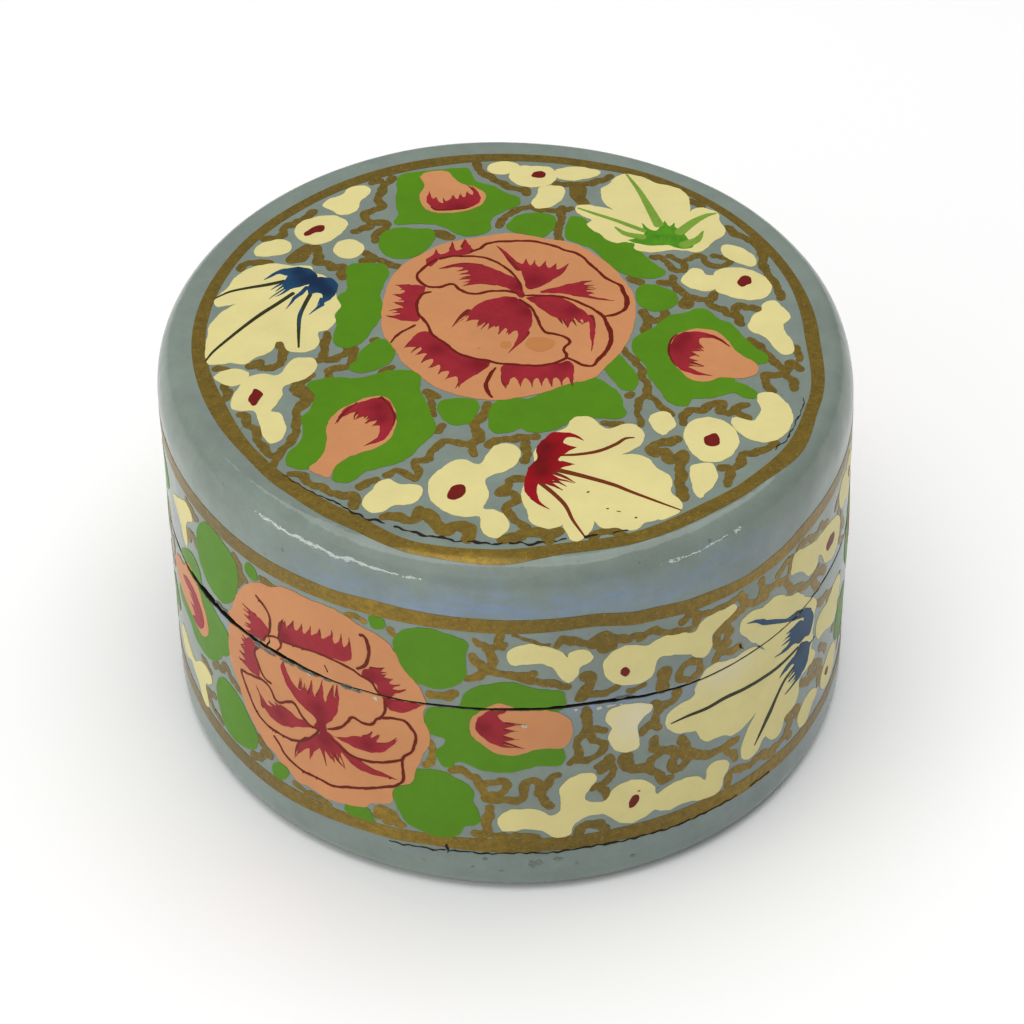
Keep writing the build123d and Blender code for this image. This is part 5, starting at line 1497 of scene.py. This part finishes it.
# varnished: colour, its lightest and darkest mix, the mottling's scale, and the colour at a root
# plain: colour, roughness, the grain's scale, its darkest mix and its rise
# None has the name of a slot, because the frame's own materials are named so.
FINISHES = {
    "ground_paint": (ground_paint,),
    "bronze_paint": (bronze_paint,),
    "leaf_green": (varnished, "green", 1.05, 0.93, 260),
    "blossom_pale": (varnished, "pale", 1.03, 0.97, 300, (213, 205, 176)),
    "rose_salmon": (varnished, "salmon", 1.03, 0.95, 240),
    "petal_crimson": (varnished, "crimson", 1.14, 0.86, 620, (116, 12, 26)),
    "petal_outline": (varnished, "outline", 1.15, 0.82, 1400),
    "blossom_eye": (varnished, (104, 17, 12), 1.2, 0.75, 1200),
    "leaf_red": (varnished, (140, 0, 16), 1.1, 0.85, 700, (96, 0, 4)),
    "petal_hair": (varnished, (112, 28, 22), 1.1, 0.85, 900),
    "salmon_stain": (varnished, (180, 118, 68), 1.04, 0.96, 240),
    "leaf_vein_brown": (varnished, (104, 42, 8), 1.15, 0.8, 1200),
    "leaf_blue": (varnished, (25, 64, 94), 1.2, 0.75, 600, (10, 36, 66)),
    "leaf_vein_dark": (varnished, (44, 46, 24), 1.15, 0.75, 1200),
    "leaf_fresh_green": (varnished, (68, 124, 18), 1.3, 0.85, 620),
    "leaf_fresh_strokes": (varnished, (112, 146, 50), 1.1, 0.88, 620),
    "inside_lacquer": (plain, (34, 30, 28), 0.42, 120, 0.75, 0.3),
    # sawn rim: dark paper, and painted shade of the gap at the cut
    "sawn_rim": (plain, (44, 35, 26), 0.9, 900, 0.6, 0.3),
    "rubbed_card": (plain, (58, 46, 38), 0.6, 400, 0.7, 0.3),
    "crack_dark": (plain, (34, 27, 20), 0.9, 200, 0.8, 0.3),
    "scraped_ground": (plain, (122, 122, 108), 0.8, 1800, 0.6, 0.5),
    "worn_ground": (plain, (107, 118, 111), 0.6, 900, 0.88, 0.4),
    "chalk_fleck": (plain, (196, 190, 174), 0.8, 1800, 0.8, 0.5),
}


def finished(name):
    """The finish of that name, made when it is first called for."""
    maker, *values = FINISHES[name]
    return bpy.data.materials.get(name) or maker(name, *values)


# ------------------------------------------------------------------ settings
def colour_setting(name, text, colour):
    """A colour that the user may change."""
    return bpy.props.FloatVectorProperty(
        name=name, description=text, subtype="COLOR_GAMMA",
        size=3, min=0, max=1, default=tuple(c / 255 for c in colour),
    )


class BoxSettings(bpy.types.PropertyGroup):
    """Sizes and colours of the box's painted surface."""

    ground: colour_setting("Ground", "Grey ground paint", (116, 128, 118))
    # the ground's blue, laid on the front of the shoulder as a painted reflection
    ground_cool: colour_setting("Cool ground", "Where the ground paint drifts to blue", (113, 132, 154))
    gold: colour_setting("Gold", "Bronze paint of the bands and scrolls", (105, 87, 34))
    green: colour_setting("Green", "Leaves and calyxes", (78, 126, 12))
    pale: colour_setting("Pale", "Small blossoms and pointed leaves", (209, 198, 136))
    salmon: colour_setting("Salmon", "Roses and buds", (191, 131, 86))
    crimson: colour_setting("Crimson", "Feathered strokes in the roses", (142, 30, 41))
    outline: colour_setting("Outline", "Fine petal lines", (98, 20, 3))
    paint_lift: bpy.props.FloatProperty(
        name="Paint lift", description="How far the top coat of paint stands up from the ground",
        default=0.00009, min=0.00002, max=0.0003, unit="LENGTH",
    )
    scroll_lift: bpy.props.FloatProperty(
        name="Scroll lift", description="How far the bronze scrolls stand up from the ground",
        default=0.00003, min=0.00001, max=0.0002, unit="LENGTH",
    )
    steps: bpy.props.IntProperty(
        name="Steps", description="Steps round the shells", default=288, min=64, max=512
    )


def settings():
    """The sizes and colours in use."""
    return bpy.context.scene.papier_box


# ------------------------------------------------------------------ pieces
class BOX_OT_lid(bpy.types.Operator):
    """Form the lid: its paper body and the painted ground over it"""

    bl_idname = "papier.lid"
    bl_label = "Form lid"

    def execute(self, context):
        inward, shoulder = RADIUS - SHOULDER_REACH, HEIGHT - SHOULDER_DROP
        coat = [(RADIUS - back, PARTING + up) for back, up in RIM_WORN]
        coat += straight((RADIUS, PARTING + 1.2), (RADIUS, shoulder), 10)
        coat += arc(inward, shoulder, SHOULDER_REACH, SHOULDER_DROP, 0, QUARTER, 14)
        coat += [(inward, HEIGHT)] + straight((inward - 0.8, HEIGHT), (0, HEIGHT), 22) + [(0, HEIGHT)]
        inward, under, shoulder = CORE - SHOULDER_REACH, HEIGHT - COAT, HEIGHT - COAT - SHOULDER_DROP
        corner = arc(inward, shoulder, SHOULDER_REACH, SHOULDER_DROP, QUARTER, 0, 8)
        corner += [(CORE, shoulder)] + straight((CORE, shoulder - 2), (CORE, PARTING), 5)
        coat += straight((0, under), (inward, under), 8) + corner + [(CORE, PARTING)]
        shell(
            "lid_painted_ground", coat, lid_form, "ground_paint",
            "painted_ground", "lid", "lid_ground_coat",
        )

        low = PARTING + 0.25
        paper = [(BORE + 0.25, PARTING), (CORE - GLUE_LINE, PARTING)]
        paper += [(r - GLUE_LINE, z - GLUE_LINE) for r, z in reversed(corner[1:])]
        paper += [(0, under - GLUE_LINE)] + straight((0, CEILING), (BORE - FILLET, CEILING), 6)
        paper += arc(BORE - FILLET, CEILING - FILLET, FILLET, FILLET, QUARTER, 0, 6)
        paper += straight((BORE, CEILING - FILLET), (BORE, low), 8) + [(BORE, low)]
        shell(
            "lid_paper_body", paper, lid_form, "inside_lacquer",
            "wound_paper", "lid", "lid_wall", "lid_top",
        )
        return {"FINISHED"}


class BOX_OT_base(bpy.types.Operator):
    """Form the base: its paper body, the painted ground over it and the collar"""

    bl_idname = "papier.base"
    bl_label = "Form base"

    def execute(self, context):
        coat = arc(RADIUS - FOOT_ROUND, FOOT_ROUND, FOOT_ROUND, FOOT_ROUND, -QUARTER, 0, 8)
        coat += straight((RADIUS, FOOT_ROUND), (RADIUS, PARTING - 0.6), 16)
        coat += [(RADIUS - back, PARTING - up) for back, up in reversed(RIM_WORN)]
        inward = CORE - FOOT_ROUND
        coat += straight((CORE, PARTING), (CORE, FOOT_ROUND), 5)
        coat += arc(inward, FOOT_ROUND, FOOT_ROUND, FOOT_ROUND, 0, -QUARTER, 6) + [(inward, 0)]
        shell(
            "base_painted_ground", coat, base_form, "ground_paint",
            "painted_ground", "base", "base_ground_coat",
        )

        out, low = CORE - GLUE_LINE, FLOOR_TOP + FILLET
        paper = [(0, 0)] + straight((inward, 0), (0, 0), 6)[::-1]
        paper += arc(out - FOOT_ROUND, FOOT_ROUND, FOOT_ROUND, FOOT_ROUND, 0.2 - QUARTER, 0, 6)
        paper += straight((out, FOOT_ROUND), (out, PARTING), 5) + [(out, PARTING), (BORE, PARTING)]
        paper += straight((BORE, PARTING - 1), (BORE, low), 6)
        paper += arc(BORE - FILLET, low, FILLET, FILLET, 0, -QUARTER, 6)
        paper += straight((BORE - FILLET, FLOOR_TOP), (0, FLOOR_TOP), 6) + [(0, FLOOR_TOP)]
        shell(
            "base_paper_body", paper, base_form, "inside_lacquer",
            "wound_paper", "base", "base_wall", "base_floor",
        )

        inner, outer, glued = BORE - COLLAR_THICKNESS, BORE - LID_CLEARANCE, BORE - GLUE_LINE
        lead, high = COLLAR_LEAD, COLLAR_HIGH - COLLAR_LEAD
        ring = [(inner, COLLAR_LOW), (glued, COLLAR_LOW), (glued, PARTING - 1.2), (outer, PARTING - 1)]
        ring += straight((outer, PARTING), (outer, high), 4)
        ring += arc(outer - lead, high, lead, lead, 0, QUARTER, 4)
        ring += arc(inner + lead, high, lead, lead, QUARTER, 2 * QUARTER, 4)
        ring += straight((inner, high), (inner, COLLAR_LOW), 6)
        shell(
            "base_card_collar", ring, hand_formed, "rubbed_card",
            "collar_card", "base", "base_collar", sawn=False,
        )
        return {"FINISHED"}


class BOX_OT_bronze(bpy.types.Operator):
    """Paint the bronze ring, bands and scrolls"""

    bl_idname = "papier.bronze"
    bl_label = "Paint bronze"

    def execute(self, context):
        lift, whole = settings().scroll_lift / MM, 2 * HALF_TURN
        band("lid_bronze_ring", "lid", LID_RING, 360, lift + BAND_PROUD, on_ring)
        band("lid_bronze_band", "lid", UPPER_BAND, whole, lift + BAND_PROUD, on_side)
        band("base_bronze_band", "base", LOWER_BAND, whole, lift + BAND_PROUD, on_side)
        for body in ("lid", "base"):
            colour_piece(
                body, "bronze_scrolls", "bronze_paint", lift, [LID_SCROLLS], [SIDE_SCROLLS],
                # painted highlight and reflection on the scrolls
                step=0.45, shake=(0.09, 0.14), gilt=gold_highlight,
            )
        return {"FINISHED"}


class BOX_OT_flowers(bpy.types.Operator):
    """Paint the leaves, blossoms and roses"""

    bl_idname = "papier.flowers"
    bl_label = "Paint flowers"

    def execute(self, context):
        # piece, finish, share of the paint's lift, the lid's and the side's drawings
        both = (
            ("leaves_green", "leaf_green", 0.5, [LID_GREEN], [SIDE_GREEN], {}),
            ("blossoms_pale", "blossom_pale", 0.6, [LID_PALE], [SIDE_PALE],
             {"pitch": 1.2, "step": 0.4, "deep": fading}),
            ("roses_salmon", "rose_salmon", 0.72, [LID_SALMON], [SIDE_SALMON], {}),
            ("petal_hairs", "petal_hair", 0.85, [LID_HAIRS], [SIDE_HAIRS], {"step": 0.4}),
            ("petals_crimson", "petal_crimson", 0.95, [LID_CRIMSON], [SIDE_CRIMSON],
             {"pitch": 0.7, "step": 0.22, "deep": rootedness}),
            ("petal_lines", "petal_outline", 1.05, [LID_LINES], [SIDE_LINES],
             {"step": 0.4, "shake": (0.02, 0.12)}),
            ("blossom_eyes", "blossom_eye", 0.9, [LID_DOTS], [SIDE_DOTS], {"step": 0.25}),
            ("leaf_blue", "leaf_blue", 0.9, [LID_BLUE, LID_BLUE_HAIRS], [SIDE_BLUE, SIDE_BLUE_HAIRS],
             {"pitch": 0.7, "step": 0.2, "deep": rootedness}),
            ("leaf_veins", "leaf_vein_dark", 0.85, [LID_DARK_LINES], [SIDE_DARK_LINES], {}),
            ("cracks", "crack_dark", 1.1, [LID_CRACKS], [SIDE_CRACKS],
             {"step": 0.15, "shake": (0.06, 0.5)}),
        )
        base = (
            ("foot_scars", "worn_ground", 0.4, [], [FOOT_BLOTCHES], {"step": 0.25}),
            ("flecks", "chalk_fleck", 1.2, [], [BASE_FLECKS], {"step": 0.2}),
        )
        lid = (
            ("leaf_red", "leaf_red", 0.9, [LID_RED], [],
             {"pitch": 0.7, "step": 0.2, "deep": rootedness}),
            ("petal_edges", "petal_outline", 1.1, [LID_EDGES], [], {"step": 0.3}),
            ("salmon_stains", "salmon_stain", 0.78, [LID_STAINS], [], {}),
            ("leaf_veins_brown", "leaf_vein_brown", 0.8, [LID_BROWN_LINES], [], {"step": 0.4}),
            ("leaf_fresh_green", "leaf_fresh_green", 0.9, [LID_LEAF], [], {"step": 0.25}),
            ("leaf_fresh_strokes", "leaf_fresh_strokes", 0.95, [LID_LEAF_LINES], [], {"step": 0.25}),
        )
        coats = []
        for body, chips in (("lid", LID_CHIPS), ("base", BASE_CHIPS)):
            coats += [(body, *coat) for coat in both]
            coats.append((body, "chips", "scraped_ground", 1.15, [], [chips], {"step": 0.2}))
        coats += [("base", *coat) for coat in base] + [("lid", *coat) for coat in lid]
        for body, name, finish, share, top, side, how in coats:
            colour_piece(body, name, finish, settings().paint_lift / MM * share, top, side, **how)
        return {"FINISHED"}


# ------------------------------------------------------------------ stage
class BOX_OT_stage(bpy.types.Operator):
    """Set up the pale floor, soft lights and camera"""

    bl_idname = "papier.stage"
    bl_label = "Set stage"

    def execute(self, context):
        clear_selection()
        bpy.ops.mesh.primitive_plane_add(size=FLOOR_SIZE, location=(0, 0, 0))
        ground = bpy.context.object
        ground.name = "pale_floor"
        made, tree, shader = blank("pale_floor")
        fill(tree, shader, {"Base Color": grey(FLOOR_PALE), "Roughness": 0.9, "Specular IOR Level": 0.1})
        ground.data.materials.append(made)
        world = bpy.data.worlds.new("soft_room")
        world.use_nodes = True
        backdrop = world.node_tree.nodes["Background"]
        fill(world.node_tree, backdrop, {"Color": grey(1), "Strength": ROOM_LIGHT})
        context.scene.world = world
        for name, place, width, height, power in LIGHTS:
            bpy.ops.object.light_add(type="AREA", location=place)
            lamp = bpy.context.object
            lamp.name = name
            lamp.data.shape = "RECTANGLE"
            lamp.data.size, lamp.data.size_y = width, height
            lamp.data.energy = power
            lamp.visible_camera = False
            aim = Vector(LIGHTS_AIM) - Vector(place)
            lamp.rotation_euler = aim.to_track_quat("-Z", "Y").to_euler()
        back, up = CAMERA_DISTANCE * math.cos(CAMERA_RISE), CAMERA_DISTANCE * math.sin(CAMERA_RISE)
        bpy.ops.object.camera_add(location=(0, -back, CAMERA_AIM_HEIGHT + up))
        camera = bpy.context.object
        camera.rotation_euler = (QUARTER - CAMERA_RISE, 0, 0)
        camera.rotation_euler.rotate_axis("Z", CAMERA_ROLL)
        camera.data.lens = CAMERA_LENS
        camera.data.sensor_width = 36
        camera.data.shift_x, camera.data.shift_y = CAMERA_SHIFT
        camera.data.clip_start = 0.01
        context.scene.camera = camera
        context.scene.view_settings.view_transform = "Standard"
        return {"FINISHED"}


class BOX_PT_panel(bpy.types.Panel):
    """Buttons for building the box"""

    bl_label = "Papier mache box"
    bl_idname = "BOX_PT_panel"
    bl_space_type = "VIEW_3D"
    bl_region_type = "UI"
    bl_category = "Papier Box"

    def draw(self, context):
        for name in BoxSettings.__annotations__:
            self.layout.prop(context.scene.papier_box, name)
        for step in STEPS:
            self.layout.operator(step.bl_idname)


STEPS = (BOX_OT_lid, BOX_OT_base, BOX_OT_bronze, BOX_OT_flowers, BOX_OT_stage)
CLASSES = (BoxSettings,) + STEPS + (BOX_PT_panel,)


def register():
    for made in CLASSES:
        bpy.utils.register_class(made)
    bpy.types.Scene.papier_box = bpy.props.PointerProperty(type=BoxSettings)


def unregister():
    del bpy.types.Scene.papier_box
    for made in reversed(CLASSES):
        bpy.utils.unregister_class(made)


def main():
    register()
    bpy.ops.papier.lid()
    bpy.ops.papier.base()
    bpy.ops.papier.bronze()
    bpy.ops.papier.flowers()
    bpy.ops.papier.stage()
    clear_selection()


if __name__ == "__main__":
    main()
